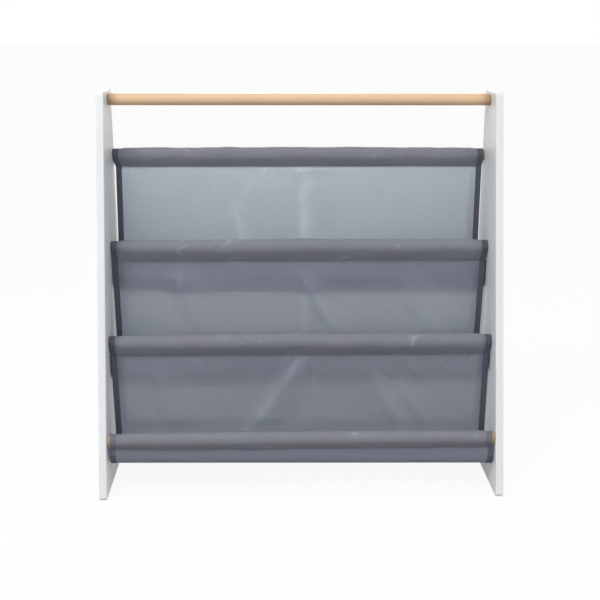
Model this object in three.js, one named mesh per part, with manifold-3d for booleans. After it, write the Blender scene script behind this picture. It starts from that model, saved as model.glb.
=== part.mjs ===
// Sling bookshelf for a child's room, in millimetres.
// Two white boards stand at the sides. A bare wooden rail and four sling dowels span between
// them, each held by one screw through either board. Three cloth slings hang from dowel to
// dowel, each one a pocket that holds books upright behind the next dowel forward.
// Frame: +X to the right, +Y to the back, +Z up. The origin is on the floor, in the middle of
// the width and of the depth.
import * as THREE from 'three';
import { mergeVertices } from 'three/addons/utils/BufferGeometryUtils.js';
import Module from 'manifold-3d';

// Overall size
const overall_width = 620;
const overall_height = 603;
const overall_depth = 230;

// Side panels: upright at the rear edge, slanted at the front edge
const panel_thickness = 12;
const panel_top_depth = 78;
const panel_top_corner_radius = 8;
const panel_foot_corner_radius = 5;
const panel_edge_round = 2;

// Top rail and sling dowels, all cut from one round stock. The two middle dowels lie on the
// straight line from the top one to the front one, at these shares of its length.
const dowel_diameter = 18;
const dowel_end_chamfer = 0.8;
const dowel_end_clearance = 0.3;
const rail_drop = 15;
const top_dowel_drop = 105;
const top_dowel_rear_margin = 11;
const front_dowel_height = 86;
const front_dowel_margin = 10.5;
const upper_dowel_share = 1 / 3;
const lower_dowel_share = 2 / 3;

// Screws through the panels into the ends of the dowels, and their cover caps
const screw_shank_diameter = 5;
const screw_head_diameter = 10;
const screw_head_height = 3;
const screw_length = 42;
const screw_tip_length = 4;
const screw_socket_across_corners = 4.6;
const screw_socket_depth = 2.2;
const screw_socket_sides = 6;
const screw_clearance = 0.3;
const pilot_hole_overrun = 3;
const cap_diameter = 13;
const cap_thickness = 1.2;
const cap_rim_chamfer = 0.3;
const cap_stem_diameter = 3;
const cap_stem_length = 1.8;
const cut_overrun = 1;

// Cloth of the slings
const cloth_thickness = 1;
const cloth_clearance = 0.3;
const sleeve_end_gap = 1;
const sheet_end_gap = 3;
const front_sleeve_end_gap = 5;
const sleeve_slack = 1.5;
const rear_seam_drop = 20.5;
const rear_seam_forward = 2.5;
const front_seam_drop = 13.3;
const front_seam_forward = 2;
const seam_allowance = 4;
const flap_top_bend_height = 10;
// A pocket's bottom is a steep short curve in front and a long one behind
const pocket_front_curve_depth = 11;
const pocket_front_curve_height = 15;
const pocket_rear_curve_height = 34;
const upper_pocket_drop = 66.4;
const middle_pocket_drop = 56.5;
const lower_pocket_drop = 42.2;
const upper_pocket_tilt = -4;
const middle_pocket_tilt = 6;
const lower_pocket_tilt = -5.5;
const sheet_bow = 3;
const sheet_crease_depth = 1.5;

// Binding tape folded over the side edges of the slings
const tape_thickness = 0.5;
const tape_width = 10;

// How finely round shapes are cut into facets
const dowel_facets = 20;
const bore_facets = 16;
const screw_facets = 10;
const cap_facets = 14;
const corner_facets = 4;
const edge_facets = 2;
const sleeve_facets = 12;
const pocket_curve_facets = 5;

// Shares of a sling's half width where its section is set out, besides its taped edges
const middle_station_shares = [-0.72, -0.46, -0.2, 0.03, 0.26, 0.5, 0.74];
const crease_share = 0.03;
const crease_spread_share = 0.2;
// Shares of a sheet's height where its bow is set out
const sheet_height_shares = [0.25, 0.5, 0.75];

// Sizes that follow from the ones above
const panel_inner_x = overall_width / 2 - panel_thickness;
const rear_y = overall_depth / 2;
const front_top_y = rear_y - panel_top_depth;
// The front edge starts at a sharp corner that lies a little in front of the rounded foot
const front_edge_angle = Math.atan2(overall_height, overall_depth - panel_top_depth);
const foot_corner_reach = panel_foot_corner_radius / Math.tan(front_edge_angle / 2);
const front_foot_y = panel_foot_corner_radius - foot_corner_reach - overall_depth / 2;
const dowel_radius = dowel_diameter / 2;
const dowel_half_length = panel_inner_x - dowel_end_clearance;
const sleeve_inner_radius = dowel_radius + cloth_clearance;
const tape_reach = cloth_clearance + tape_thickness;

function frontEdgeAt(height) {
  const climb = height / overall_height;
  return front_foot_y + (front_top_y - front_foot_y) * climb;
}

// Centres of the rail and of the dowels, as (y, z)
const rail_centre = new THREE.Vector2((front_top_y + rear_y) / 2, overall_height - rail_drop);
const top_dowel_centre = new THREE.Vector2(
  rear_y - top_dowel_rear_margin, overall_height - top_dowel_drop);
const front_dowel_centre = new THREE.Vector2(
  frontEdgeAt(front_dowel_height) + front_dowel_margin, front_dowel_height);
const dowel_centres = {
  top: top_dowel_centre,
  upper: top_dowel_centre.clone().lerp(front_dowel_centre, upper_dowel_share),
  lower: top_dowel_centre.clone().lerp(front_dowel_centre, lower_dowel_share),
  front: front_dowel_centre,
};

// Finishes
const white_board = new THREE.MeshStandardMaterial({ color: 0xeceef0, roughness: 0.45 });
const bare_wood = new THREE.MeshStandardMaterial({ color: 0xdcb588, roughness: 0.6 });
const grey_cloth = new THREE.MeshStandardMaterial({ color: 0x7e828c, roughness: 0.8 });
const dark_tape = new THREE.MeshStandardMaterial({ color: 0x4a4f5c, roughness: 0.85 });
const zinc_steel = new THREE.MeshStandardMaterial({ color: 0xb4b6b8, roughness: 0.35, metalness: 1 });
const white_plastic = new THREE.MeshStandardMaterial({ color: 0xf0f0ee, roughness: 0.4 });

const group = new THREE.Group();

function addPiece(name, geometry, material) {
  const piece = new THREE.Mesh(geometry, material.clone());
  piece.name = name;
  group.add(piece);
  return piece;
}

// Booleans
const manifold_library = await Module();
manifold_library.setup();

function solidOf(geometry) {
  const bare = geometry.clone();
  bare.deleteAttribute('normal');
  bare.deleteAttribute('uv');
  const merged = mergeVertices(bare);
  return new manifold_library.Manifold(new manifold_library.Mesh({
    numProp: 3,
    vertProperties: Float32Array.from(merged.attributes.position.array),
    triVerts: Uint32Array.from(merged.index.array),
  }));
}

function geometryOf(solid) {
  const mesh = solid.getMesh();
  const geometry = new THREE.BufferGeometry();
  geometry.setAttribute('position', new THREE.BufferAttribute(Float32Array.from(mesh.vertProperties), 3));
  geometry.setIndex(new THREE.BufferAttribute(Uint32Array.from(mesh.triVerts), 1));
  return geometry;
}

// A round shape turned about the X axis. Its profile points are (radius, x).
function turned(profile, facets) {
  const points = profile.map(([radius, along]) => new THREE.Vector2(radius, along));
  const geometry = new THREE.LatheGeometry(points, facets);
  geometry.rotateZ(-Math.PI / 2);
  return geometry;
}

// The outline with each corner rounded to its own radius. Corners are [y, z, radius].
function roundedShape(corners) {
  const shape = new THREE.Shape();
  corners.forEach(([y, z, radius], index) => {
    const corner = new THREE.Vector2(y, z);
    const [before_y, before_z] = corners[(index + corners.length - 1) % corners.length];
    const [after_y, after_z] = corners[(index + 1) % corners.length];
    const back = new THREE.Vector2(before_y, before_z).sub(corner).normalize();
    const onward = new THREE.Vector2(after_y, after_z).sub(corner).normalize();
    const half_angle = Math.acos(back.dot(onward)) / 2;
    const start = corner.clone().addScaledVector(back, radius / Math.tan(half_angle));
    const inward = back.clone().add(onward).normalize();
    const centre = corner.clone().addScaledVector(inward, radius / Math.sin(half_angle));
    const end = corner.clone().addScaledVector(onward, radius / Math.tan(half_angle));
    const from = start.clone().sub(centre).angle();
    const to = end.clone().sub(centre).angle();
    if (index === 0) shape.moveTo(start.x, start.y);
    else shape.lineTo(start.x, start.y);
    shape.absarc(centre.x, centre.y, radius, from, to, false);
  });
  shape.closePath();
  return shape;
}

// What is drawn in the YZ plane is extruded along X
const yz_to_frame = new THREE.Matrix4().makeBasis(
  new THREE.Vector3(0, 1, 0), new THREE.Vector3(0, 0, 1), new THREE.Vector3(1, 0, 0));

// Side panels: a board with rounded edges. Each dowel end has a stepped hole, which from
// outside is the cap's recess, the screw head's countersink and the screw's clearance hole.
const screw_hole_radius = screw_shank_diameter / 2 + screw_clearance;
const cap_recess_radius = cap_diameter / 2 + screw_clearance;
const head_top_depth = cap_thickness + screw_clearance;

function panelBoard() {
  const shape = roundedShape([
    [front_foot_y, 0, panel_foot_corner_radius],
    [rear_y, 0, panel_foot_corner_radius],
    [rear_y, overall_height, panel_top_corner_radius],
    [front_top_y, overall_height, panel_top_corner_radius],
  ]);
  const board = new THREE.ExtrudeGeometry(shape, {
    depth: panel_thickness - 2 * panel_edge_round,
    bevelThickness: panel_edge_round,
    bevelSize: panel_edge_round,
    bevelOffset: -panel_edge_round,
    bevelSegments: edge_facets,
    curveSegments: corner_facets,
  });
  board.translate(0, 0, panel_inner_x + panel_edge_round);
  board.applyMatrix4(yz_to_frame);
  return board;
}

function screwHoleCutter() {
  const outer_x = overall_width / 2;
  const head_top_x = outer_x - head_top_depth;
  const head_radius = screw_head_diameter / 2 + screw_clearance;
  const head_bottom_x = head_top_x - screw_head_height;
  return turned([
    [0, panel_inner_x - cut_overrun],
    [screw_hole_radius, panel_inner_x - cut_overrun],
    [screw_hole_radius, head_bottom_x],
    [head_radius, head_top_x],
    [cap_recess_radius, head_top_x],
    [cap_recess_radius, outer_x + cut_overrun],
    [0, outer_x + cut_overrun],
  ], bore_facets);
}

function rightPanel() {
  let panel = solidOf(panelBoard());
  const centres = [rail_centre, ...Object.values(dowel_centres)];
  for (const centre of centres) {
    panel = panel.subtract(solidOf(screwHoleCutter().translate(0, centre.x, centre.y)));
  }
  return geometryOf(panel);
}

// The same geometry on the other side of the middle plane, with its faces turned to match
function mirrored(geometry) {
  const copy = geometry.index ? geometry.toNonIndexed() : geometry.clone();
  copy.deleteAttribute('normal');
  copy.deleteAttribute('uv');
  const position = copy.attributes.position;
  const corner = new THREE.Vector3();
  const spare = new THREE.Vector3();
  for (let face = 0; face < position.count; face += 3) {
    for (const vertex of [face, face + 1, face + 2]) {
      position.setX(vertex, -position.getX(vertex));
    }
    corner.fromBufferAttribute(position, face + 1);
    spare.fromBufferAttribute(position, face + 2);
    position.setXYZ(face + 1, spare.x, spare.y, spare.z);
    position.setXYZ(face + 2, corner.x, corner.y, corner.z);
  }
  return mergeVertices(copy);
}

const right_panel = rightPanel();
addPiece('side_panel_right', right_panel, white_board);
addPiece('side_panel_left', mirrored(right_panel), white_board);

// Rail and dowels: round bars with a pilot hole for the screw in either end
const screw_point_x = overall_width / 2 - head_top_depth - screw_length;
const pilot_bottom_x = screw_point_x - pilot_hole_overrun;

function dowelBar() {
  const end = dowel_half_length;
  const shoulder = dowel_radius - dowel_end_chamfer;
  return turned([
    [0, -pilot_bottom_x],
    [screw_hole_radius, -pilot_bottom_x],
    [screw_hole_radius, -end],
    [shoulder, -end],
    [dowel_radius, dowel_end_chamfer - end],
    [dowel_radius, end - dowel_end_chamfer],
    [shoulder, end],
    [screw_hole_radius, end],
    [screw_hole_radius, pilot_bottom_x],
    [0, pilot_bottom_x],
  ], dowel_facets);
}

addPiece('top_rail', dowelBar(), bare_wood).position.set(0, rail_centre.x, rail_centre.y);
for (const [name, centre] of Object.entries(dowel_centres)) {
  addPiece(`sling_dowel_${name}`, dowelBar(), bare_wood).position.set(0, centre.x, centre.y);
}

// Screws: a flat countersunk head with a six-sided socket, and a straight shank
function screw() {
  const head_top_x = overall_width / 2 - head_top_depth;
  const shank_radius = screw_shank_diameter / 2;
  const body = solidOf(turned([
    [0, screw_point_x],
    [shank_radius, screw_point_x + screw_tip_length],
    [shank_radius, head_top_x - screw_head_height],
    [screw_head_diameter / 2, head_top_x],
    [0, head_top_x],
  ], screw_facets));
  const socket = solidOf(turned([
    [0, head_top_x - screw_socket_depth],
    [screw_socket_across_corners / 2, head_top_x - screw_socket_depth],
    [screw_socket_across_corners / 2, head_top_x + cut_overrun],
    [0, head_top_x + cut_overrun],
  ], screw_socket_sides));
  return geometryOf(body.subtract(socket));
}

// Cover caps: a thin disc flush with the panel and a stem that pushes into the screw's socket
function coverCap() {
  const face_x = overall_width / 2;
  const back_x = face_x - cap_thickness;
  const radius = cap_diameter / 2;
  return turned([
    [0, back_x - cap_stem_length],
    [cap_stem_diameter / 2, back_x - cap_stem_length],
    [cap_stem_diameter / 2, back_x],
    [radius, back_x],
    [radius, face_x - cap_rim_chamfer],
    [radius - cap_rim_chamfer, face_x],
    [0, face_x],
  ], cap_facets);
}

// One screw and one cap at either end of the rail and of each dowel
const right_screw = screw();
const right_cap = coverCap();
for (const [name, centre] of Object.entries({ rail: rail_centre, ...dowel_centres })) {
  for (const [side, inPlace] of [['right', (piece) => piece], ['left', mirrored]]) {
    addPiece(`screw_${name}_${side}`, inPlace(right_screw), zinc_steel)
      .position.set(0, centre.x, centre.y);
    addPiece(`cover_cap_${name}_${side}`, inPlace(right_cap), white_plastic)
      .position.set(0, centre.x, centre.y);
  }
}

// Slings. A sling's section lies in the YZ plane: a sleeve sewn round its rear dowel, a sheet
// that hangs from the sleeve's front layer, a rounded pocket bottom, and a flap that climbs
// to the next dowel. A point of the section carries the half width of the cloth there.
const half_width = {
  sleeve: panel_inner_x - sleeve_end_gap,
  sheet: panel_inner_x - sheet_end_gap,
  front_sleeve: panel_inner_x - front_sleeve_end_gap,
};

const slings = [
  { name: 'upper', rear: 'top', fore: 'upper', drop: upper_pocket_drop, tilt: upper_pocket_tilt },
  { name: 'middle', rear: 'upper', fore: 'lower', drop: middle_pocket_drop, tilt: middle_pocket_tilt },
  { name: 'lower', rear: 'lower', fore: 'front', drop: lower_pocket_drop, tilt: lower_pocket_tilt },
];

function rearSeam(centre) {
  return new THREE.Vector2(centre.x - rear_seam_forward, centre.y - rear_seam_drop);
}

function frontSeam(centre) {
  return new THREE.Vector2(centre.x - front_seam_forward, centre.y - front_seam_drop);
}

// The edges stay straight as far in as the tape reaches
const taped_share = 1 - (tape_width + cloth_clearance) / half_width.sheet;
const station_shares = [-1, -taped_share, ...middle_station_shares, taped_share, 1];

// Swells from 0 at either taped edge of the cloth to 1 in the middle
function middleSwell(share) {
  return Math.max(0, 1 - (share / taped_share) ** 2);
}

// The loop of a sleeve at one radius, from its rear tangent over the dowel to its front one.
// The two straight layers below run from the tangents to the seam.
function sleeveLoop(centre, seam, radius, share, half) {
  const to_seam = seam.clone().sub(centre);
  const spread = Math.acos(sleeve_inner_radius / to_seam.length());
  const rear_angle = to_seam.angle() + spread - 2 * Math.PI;
  const sweep = 2 * Math.PI - 2 * spread;
  const lift = sleeve_slack * middleSwell(share);
  return Array.from({ length: sleeve_facets + 1 }, (_, step) => {
    const angle = rear_angle + sweep * step / sleeve_facets;
    const raised = lift * Math.max(0, Math.sin(angle));
    return {
      y: centre.x + radius * Math.cos(angle),
      z: centre.y + radius * Math.sin(angle) + raised,
      half,
    };
  });
}

// A quarter of an ellipse about a centre, from its lowest point or to it
function quarterCurve(centre, reach, height, first_step, falling, half) {
  const steps = pocket_curve_facets - first_step;
  return Array.from({ length: steps + 1 }, (_, step) => {
    const part = (first_step + step) / pocket_curve_facets;
    const angle = Math.PI / 2 * (falling ? part : 1 + part);
    const normal = new THREE.Vector2(Math.cos(angle) / reach, -Math.sin(angle) / height).normalize();
    return {
      y: centre.x + reach * Math.cos(angle),
      z: centre.y - height * Math.sin(angle),
      normal: [normal.x, normal.y],
      half,
    };
  });
}

// The middle line of a sling's sheet, pocket bottom and flap at one share of its width
function pocketLine(sling, share) {
  const rear_seam = rearSeam(dowel_centres[sling.rear]);
  const fore_centre = dowel_centres[sling.fore];
  const is_last = sling.fore === 'front';
  const fore_seam = is_last ? frontSeam(fore_centre) : rearSeam(fore_centre);
  const sheet_y = rear_seam.x - cloth_thickness / 2;
  const behind_next = cloth_thickness / 2 + cloth_clearance;
  const flap_y = is_last
    ? fore_seam.x - cloth_thickness / 2
    : fore_seam.x + 2 * tape_reach + behind_next;
  const flap_top_y = is_last ? flap_y : fore_seam.x + cloth_thickness + behind_next;
  const lowest_y = flap_y + pocket_front_curve_depth;
  const lowest_z = fore_centre.y - sling.drop + sling.tilt * share / 2;
  const turn_z = lowest_z + pocket_rear_curve_height;
  const sheet_top_z = rear_seam.y - seam_allowance;
  const crease_distance = Math.abs(share - crease_share) / crease_spread_share;
  const crease = sheet_crease_depth * Math.max(0, 1 - crease_distance);
  const sheet = sheet_height_shares.map((height_share) => ({
    y: sheet_y + (sheet_bow * middleSwell(share) - crease) * Math.sin(Math.PI * height_share),
    z: sheet_top_z + (turn_z - sheet_top_z) * height_share,
    normal: [1, 0],
    half: half_width.sheet,
  }));
  const rear_centre = new THREE.Vector2(lowest_y, turn_z);
  const front_centre = new THREE.Vector2(lowest_y, lowest_z + pocket_front_curve_height);
  const bottom = [
    ...quarterCurve(rear_centre, sheet_y - lowest_y, pocket_rear_curve_height, 0, true, half_width.sheet),
    ...quarterCurve(front_centre, pocket_front_curve_depth, pocket_front_curve_height, 1, false,
      half_width.sheet),
  ];
  const flap_end_z = is_last ? fore_seam.y - seam_allowance : fore_seam.y - cloth_thickness;
  const flap = is_last ? [] : [{
    y: flap_y,
    z: flap_end_z - flap_top_bend_height,
    normal: [-1, 0],
    half: half_width.sheet,
  }];
  return [
    { y: sheet_y, z: sheet_top_z, normal: [1, 0], half: half_width.sheet },
    ...sheet,
    ...bottom,
    ...flap,
    { y: flap_top_y, z: flap_end_z, normal: [-1, 0], half: half_width.sheet },
  ];
}

function offsetLine(line, distance) {
  return line.map((point) => ({
    y: point.y + point.normal[0] * distance,
    z: point.z + point.normal[1] * distance,
    half: point.half,
  }));
}

// The closed outline of a sling's section, and the holes that its dowels pass through
function slingSection(sling, share) {
  const rear_centre = dowel_centres[sling.rear];
  const seam = rearSeam(rear_centre);
  const outer_radius = sleeve_inner_radius + cloth_thickness;
  const line = pocketLine(sling, share);
  const outside = offsetLine(line, cloth_thickness / 2);
  const inside = offsetLine(line, -cloth_thickness / 2);
  const contour = [
    { y: seam.x + cloth_thickness, z: seam.y - seam_allowance, half: half_width.sheet },
    { y: seam.x + cloth_thickness, z: seam.y - cloth_thickness, half: half_width.sheet },
    ...sleeveLoop(rear_centre, seam, outer_radius, share, half_width.sleeve),
    { y: seam.x - cloth_thickness, z: seam.y - cloth_thickness, half: half_width.sheet },
    ...inside,
  ];
  const holes = [[
    ...sleeveLoop(rear_centre, seam, sleeve_inner_radius, share, half_width.sleeve),
    { y: seam.x, z: seam.y, half: half_width.sheet },
  ].reverse()];
  if (sling.fore === 'front') {
    const centre = dowel_centres.front;
    const end_seam = frontSeam(centre);
    contour.push(
      { y: end_seam.x + cloth_thickness, z: end_seam.y - seam_allowance, half: half_width.sheet },
      { y: end_seam.x + cloth_thickness, z: end_seam.y - cloth_thickness, half: half_width.sheet },
      ...sleeveLoop(centre, end_seam, outer_radius, share, half_width.front_sleeve),
      { y: end_seam.x - cloth_thickness, z: end_seam.y - cloth_thickness, half: half_width.sheet },
    );
    holes.push([
      ...sleeveLoop(centre, end_seam, sleeve_inner_radius, share, half_width.front_sleeve),
      { y: end_seam.x, z: end_seam.y, half: half_width.sheet },
    ].reverse());
  }
  contour.push(...outside.reverse());
  return { contour, holes };
}

// A closed solid through sections that all have the same number of points
function lofted(sections, cap_faces, loops) {
  const count = sections[0].length;
  const positions = sections.flat(2);
  const indices = [];
  for (const [first, last] of loops) {
    const length = last - first;
    for (let ring = 0; ring < sections.length - 1; ring += 1) {
      for (let step = 0; step < length; step += 1) {
        const here = ring * count + first + step;
        const next = ring * count + first + (step + 1) % length;
        indices.push(here, next, next + count, here, next + count, here + count);
      }
    }
  }
  const top = (sections.length - 1) * count;
  for (const [a, b, c] of cap_faces) {
    indices.push(a, c, b, top + a, top + b, top + c);
  }
  const geometry = new THREE.BufferGeometry();
  geometry.setAttribute('position', new THREE.Float32BufferAttribute(positions, 3));
  geometry.setIndex(indices);
  return geometry;
}

function slingGeometry(sling) {
  const edge = slingSection(sling, station_shares[0]);
  const flat = (points) => points.map((point) => new THREE.Vector2(point.y, point.z));
  const cap_faces = THREE.ShapeUtils.triangulateShape(flat(edge.contour), edge.holes.map(flat));
  const loops = [];
  let start = 0;
  for (const loop of [edge.contour, ...edge.holes]) {
    loops.push([start, start + loop.length]);
    start += loop.length;
  }
  const sections = station_shares.map((share) => {
    const { contour, holes } = slingSection(sling, share);
    return [contour, ...holes].flat().map((point) => [point.half * share, point.y, point.z]);
  });
  return lofted(sections, cap_faces, loops);
}

for (const sling of slings) {
  addPiece(`sling_${sling.name}`, slingGeometry(sling), grey_cloth);
}

// Binding: a tape folded over the side edge of a sling, from below its sleeve round the
// pocket bottom to the top of the flap
const tape_cap_faces = [[0, 1, 6], [0, 6, 7], [1, 2, 5], [1, 5, 6], [2, 3, 4], [2, 4, 5]];

function leftBinding(sling, share) {
  const line = pocketLine(sling, share);
  const covered = sling.fore === 'front' ? line : line.slice(0, -1);
  const inner = cloth_thickness / 2 + cloth_clearance;
  const outer = inner + tape_thickness;
  const sections = covered.map((point) => {
    const edge = point.half + cloth_clearance;
    const tape_edge = point.half - tape_width;
    const corners = [
      [tape_edge, -outer], [edge + tape_thickness, -outer], [edge + tape_thickness, outer],
      [tape_edge, outer], [tape_edge, inner], [edge, inner], [edge, -inner], [tape_edge, -inner],
    ];
    return corners.map(([across, out]) => [
      -across, point.y + point.normal[0] * out, point.z + point.normal[1] * out]);
  });
  return lofted(sections, tape_cap_faces, [[0, sections[0].length]]);
}

for (const sling of slings) {
  addPiece(`binding_${sling.name}_right`, mirrored(leftBinding(sling, 1)), dark_tape);
  addPiece(`binding_${sling.name}_left`, leftBinding(sling, -1), dark_tape);
}

export default group;
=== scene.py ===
# %% [markdown]
# A sling bookshelf for a child's room. Two white boards stand at the sides, a bare wooden rail
# and four dowels span between them, and three cloth slings hang from dowel to dowel.
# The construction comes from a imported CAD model, which stays fixed. This script adds what the
# eye sees: rounded painted edges, wood grain, and thin cloth that lets light through.
# The shelf's lengths are written in millimetres and turned to metres where a mesh is made.

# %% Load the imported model
import math

import bmesh
import bpy
from mathutils import Matrix, Vector, noise


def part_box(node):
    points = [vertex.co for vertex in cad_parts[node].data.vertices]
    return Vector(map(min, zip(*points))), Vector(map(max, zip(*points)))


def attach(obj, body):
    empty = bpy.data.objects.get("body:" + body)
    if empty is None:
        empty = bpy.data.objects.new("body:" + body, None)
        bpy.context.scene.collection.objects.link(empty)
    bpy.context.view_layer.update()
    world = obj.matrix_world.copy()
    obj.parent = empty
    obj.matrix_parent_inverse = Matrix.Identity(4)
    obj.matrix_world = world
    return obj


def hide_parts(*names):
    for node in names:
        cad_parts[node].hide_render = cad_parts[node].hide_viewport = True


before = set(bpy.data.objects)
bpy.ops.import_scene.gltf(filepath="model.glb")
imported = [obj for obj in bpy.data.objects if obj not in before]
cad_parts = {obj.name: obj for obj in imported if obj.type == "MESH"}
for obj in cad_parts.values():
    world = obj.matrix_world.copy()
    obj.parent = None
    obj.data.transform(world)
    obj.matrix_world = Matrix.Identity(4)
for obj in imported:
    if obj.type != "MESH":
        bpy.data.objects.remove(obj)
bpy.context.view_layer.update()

MM = 0.001

# %% [markdown]
# The camera stands where the photographer stood. Its place was found by fitting a pinhole
# camera to the edges of the boards, the floor line and the dowels: about 1.45 m in front of the
# shelf, a little left of its middle, and looking down by nearly 16 degrees.
# Blender wants the focal length in millimetres of its 36 mm sensor, so the length that was
# fitted in pixels is multiplied by 36 over the picture's 600 pixels.

# %% Camera
PICTURE_WIDTH_PX = 600
FOCAL_LENGTH_PX = 1037.1
SENSOR_WIDTH = 36
CAMERA_PLACE = Vector((-46.75, -1562.15, 724.9))
PITCH_DOWN, YAW_RIGHT, ROLL = 0.2744, 0.0292, 0.0031

ahead = Vector((
    math.sin(YAW_RIGHT) * math.cos(PITCH_DOWN),
    math.cos(YAW_RIGHT) * math.cos(PITCH_DOWN),
    -math.sin(PITCH_DOWN)))
level_right = Vector((math.cos(YAW_RIGHT), -math.sin(YAW_RIGHT), 0))
level_up = level_right.cross(ahead)
right = math.cos(ROLL) * level_right + math.sin(ROLL) * level_up
up = math.cos(ROLL) * level_up - math.sin(ROLL) * level_right


def linked(name, data):
    """A new object that is part of the scene."""
    made = bpy.data.objects.new(name, data)
    bpy.context.scene.collection.objects.link(made)
    return made


camera = linked("camera", bpy.data.cameras.new("camera"))
camera.data.sensor_width = SENSOR_WIDTH
camera.data.lens = FOCAL_LENGTH_PX * SENSOR_WIDTH / PICTURE_WIDTH_PX
camera.matrix_world = (
    Matrix.Translation(CAMERA_PLACE * MM) @ Matrix((right, up, -ahead)).transposed().to_4x4())
bpy.context.scene.camera = camera
print("camera lens in mm:", round(camera.data.lens, 2))

# %% [markdown]
# Colours are written as sRGB hex values, as a paint chart gives them, and one function turns
# them to the linear values that Blender's sockets expect. One more function adds a node with
# its settings and links, so that a material reads as a list of what it is made of. A Mix node
# has inputs for several kinds of values under the same names, so its colours go by number.

# %% Colours and nodes
# Numbers of a Mix node's two colour inputs and of its colour output
FIRST, SECOND, BLEND = 6, 7, 2


def linear(hex_colour):
    """The linear RGBA of an sRGB colour such as '#dcb588'."""
    channels = [int(hex_colour[place:place + 2], 16) / 255 for place in (1, 3, 5)]
    return [c / 12.92 if c <= 0.04045 else ((c + 0.055) / 1.055) ** 2.4 for c in channels] + [1]


def add(tree, kind, sockets=None, **settings):
    """Adds a node. sockets maps an input's name or number to a value or to another node's output."""
    made = tree.nodes.new(kind)
    for name, value in settings.items():
        setattr(made, name, value)
    for name, value in (sockets or {}).items():
        if isinstance(value, bpy.types.NodeSocket):
            tree.links.new(value, made.inputs[name])
        else:
            made.inputs[name].default_value = value
    return made


def blank_material(name):
    """A material with an empty node tree, and the tree."""
    material = bpy.data.materials.new(name)
    material.use_nodes = True
    material.node_tree.nodes.clear()
    return material, material.node_tree


def finish_material(material, tree, surface):
    """Connects the surface shader and returns the material."""
    add(tree, "ShaderNodeOutputMaterial", {"Surface": surface})
    print("material:", material.name)
    return material


# %% [markdown]
# Every rigid piece is either a board or a bar turned on a lathe. A small helper links a
# bmesh as an object, smooths its shading and keeps flat faces flat with weighted normals,
# which is how modelled edges catch a highlight without looking inflated. Another one lays a skin
# of faces over rings of points, which makes a board, a stitch or any other closed body.

# %% Mesh helpers
SMOOTH_ANGLE = math.radians(40)


def as_object(name, bm, material, weighted=True):
    """Links the bmesh as an object with smooth shading between its sharp edges."""
    bmesh.ops.recalc_face_normals(bm, faces=bm.faces)
    mesh = bpy.data.meshes.new(name)
    bm.to_mesh(mesh)
    bm.free()
    mesh.materials.append(material)
    mesh.shade_smooth()
    mesh.set_sharp_from_angle(angle=SMOOTH_ANGLE)
    piece = linked(name, mesh)
    if weighted:
        normals = piece.modifiers.new("flat faces stay flat", "WEIGHTED_NORMAL")
        normals.keep_sharp = True
    return piece


def skin(bm, rings):
    """Joins rings with the same number of vertices by faces, and closes both ends."""
    for before, after in zip(rings, rings[1:]):
        for k in range(len(before)):
            following = (k + 1) % len(before)
            bm.faces.new((before[k], before[following], after[following], after[k]))
    bm.faces.new(rings[0])
    bm.faces.new(rings[-1])


def turned(bm, profile, segments, centre=(0, 0), mirror=1):
    """Adds a solid turned about the X axis from (radius, x) points that begin and end on it."""
    rings = []
    for radius, along in profile:
        angles = [0] if radius == 0 else [math.tau * k / segments for k in range(segments)]
        rings.append([bm.verts.new((
            mirror * along * MM,
            (centre[0] + radius * math.cos(angle)) * MM,
            (centre[1] + radius * math.sin(angle)) * MM)) for angle in angles])
    for before, after in zip(rings, rings[1:]):
        for k in range(segments):
            corners = [before[k % len(before)], before[(k + 1) % len(before)],
                       after[(k + 1) % len(after)], after[k % len(after)]]
            bm.faces.new(list(dict.fromkeys(corners)))


def centre_of(node):
    """The centre of a node's box as (y, z) in millimetres."""
    low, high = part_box(node)
    middle = (low + high) / 2 / MM
    return middle.y, middle.z


# %% [markdown]
# The side boards are fibreboard with a satin white paint. The paint was rolled or sprayed, so
# under a lamp it shows a very fine orange-peel texture and an even, soft highlight. A plain white
# would look like paper: the slight change of tone, the fine bump and the rounded edge are what
# say paint. Paint has an IOR of about 1.5, and satin has a roughness near 0.4.

# %% Satin paint
PAINT = "#eff1f2"
PAINT_SHADE = "#e8ebed"
PAINT_STIPPLE = 1.6
PAINT_MOTTLE = 90


def satin_paint_on_fibreboard():
    material, tree = blank_material("satin_paint_on_fibreboard")
    place = add(tree, "ShaderNodeTexCoord").outputs["Object"]
    mottle = add(tree, "ShaderNodeTexNoise", {
        "Vector": place, "Scale": 1 / (PAINT_MOTTLE * MM), "Detail": 3, "Roughness": 0.5})
    stipple = add(tree, "ShaderNodeTexNoise", {
        "Vector": place, "Scale": 1 / (PAINT_STIPPLE * MM), "Detail": 2, "Roughness": 0.5})
    bump = add(tree, "ShaderNodeBump", {
        "Strength": 0.12, "Distance": 0.08 * MM, "Height": stipple.outputs["Fac"]})
    gloss = add(tree, "ShaderNodeMapRange", {
        "Value": mottle.outputs["Fac"], "To Min": 0.36, "To Max": 0.46})
    paint = add(tree, "ShaderNodeMix", {
        "Factor": mottle.outputs["Fac"], FIRST: linear(PAINT), SECOND: linear(PAINT_SHADE)},
        data_type="RGBA")
    surface = add(tree, "ShaderNodeBsdfPrincipled", {
        "Base Color": paint.outputs[BLEND],
        "Roughness": gloss.outputs["Result"], "Normal": bump.outputs["Normal"], "IOR": 1.5})
    return finish_material(material, tree, surface.outputs["BSDF"])


painted_board = satin_paint_on_fibreboard()

# %% [markdown]
# A board is an outline of four rounded corners. Its arrises are rounded too, by about 2 mm, which
# catches a thin line of light down the whole front edge. The outline is lofted through rings
# that step inwards along a quarter circle, since a rounded outline that is drawn in by d is the
# same outline with its corner radii smaller by d. A boolean then cuts the stepped screw holes.

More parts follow.
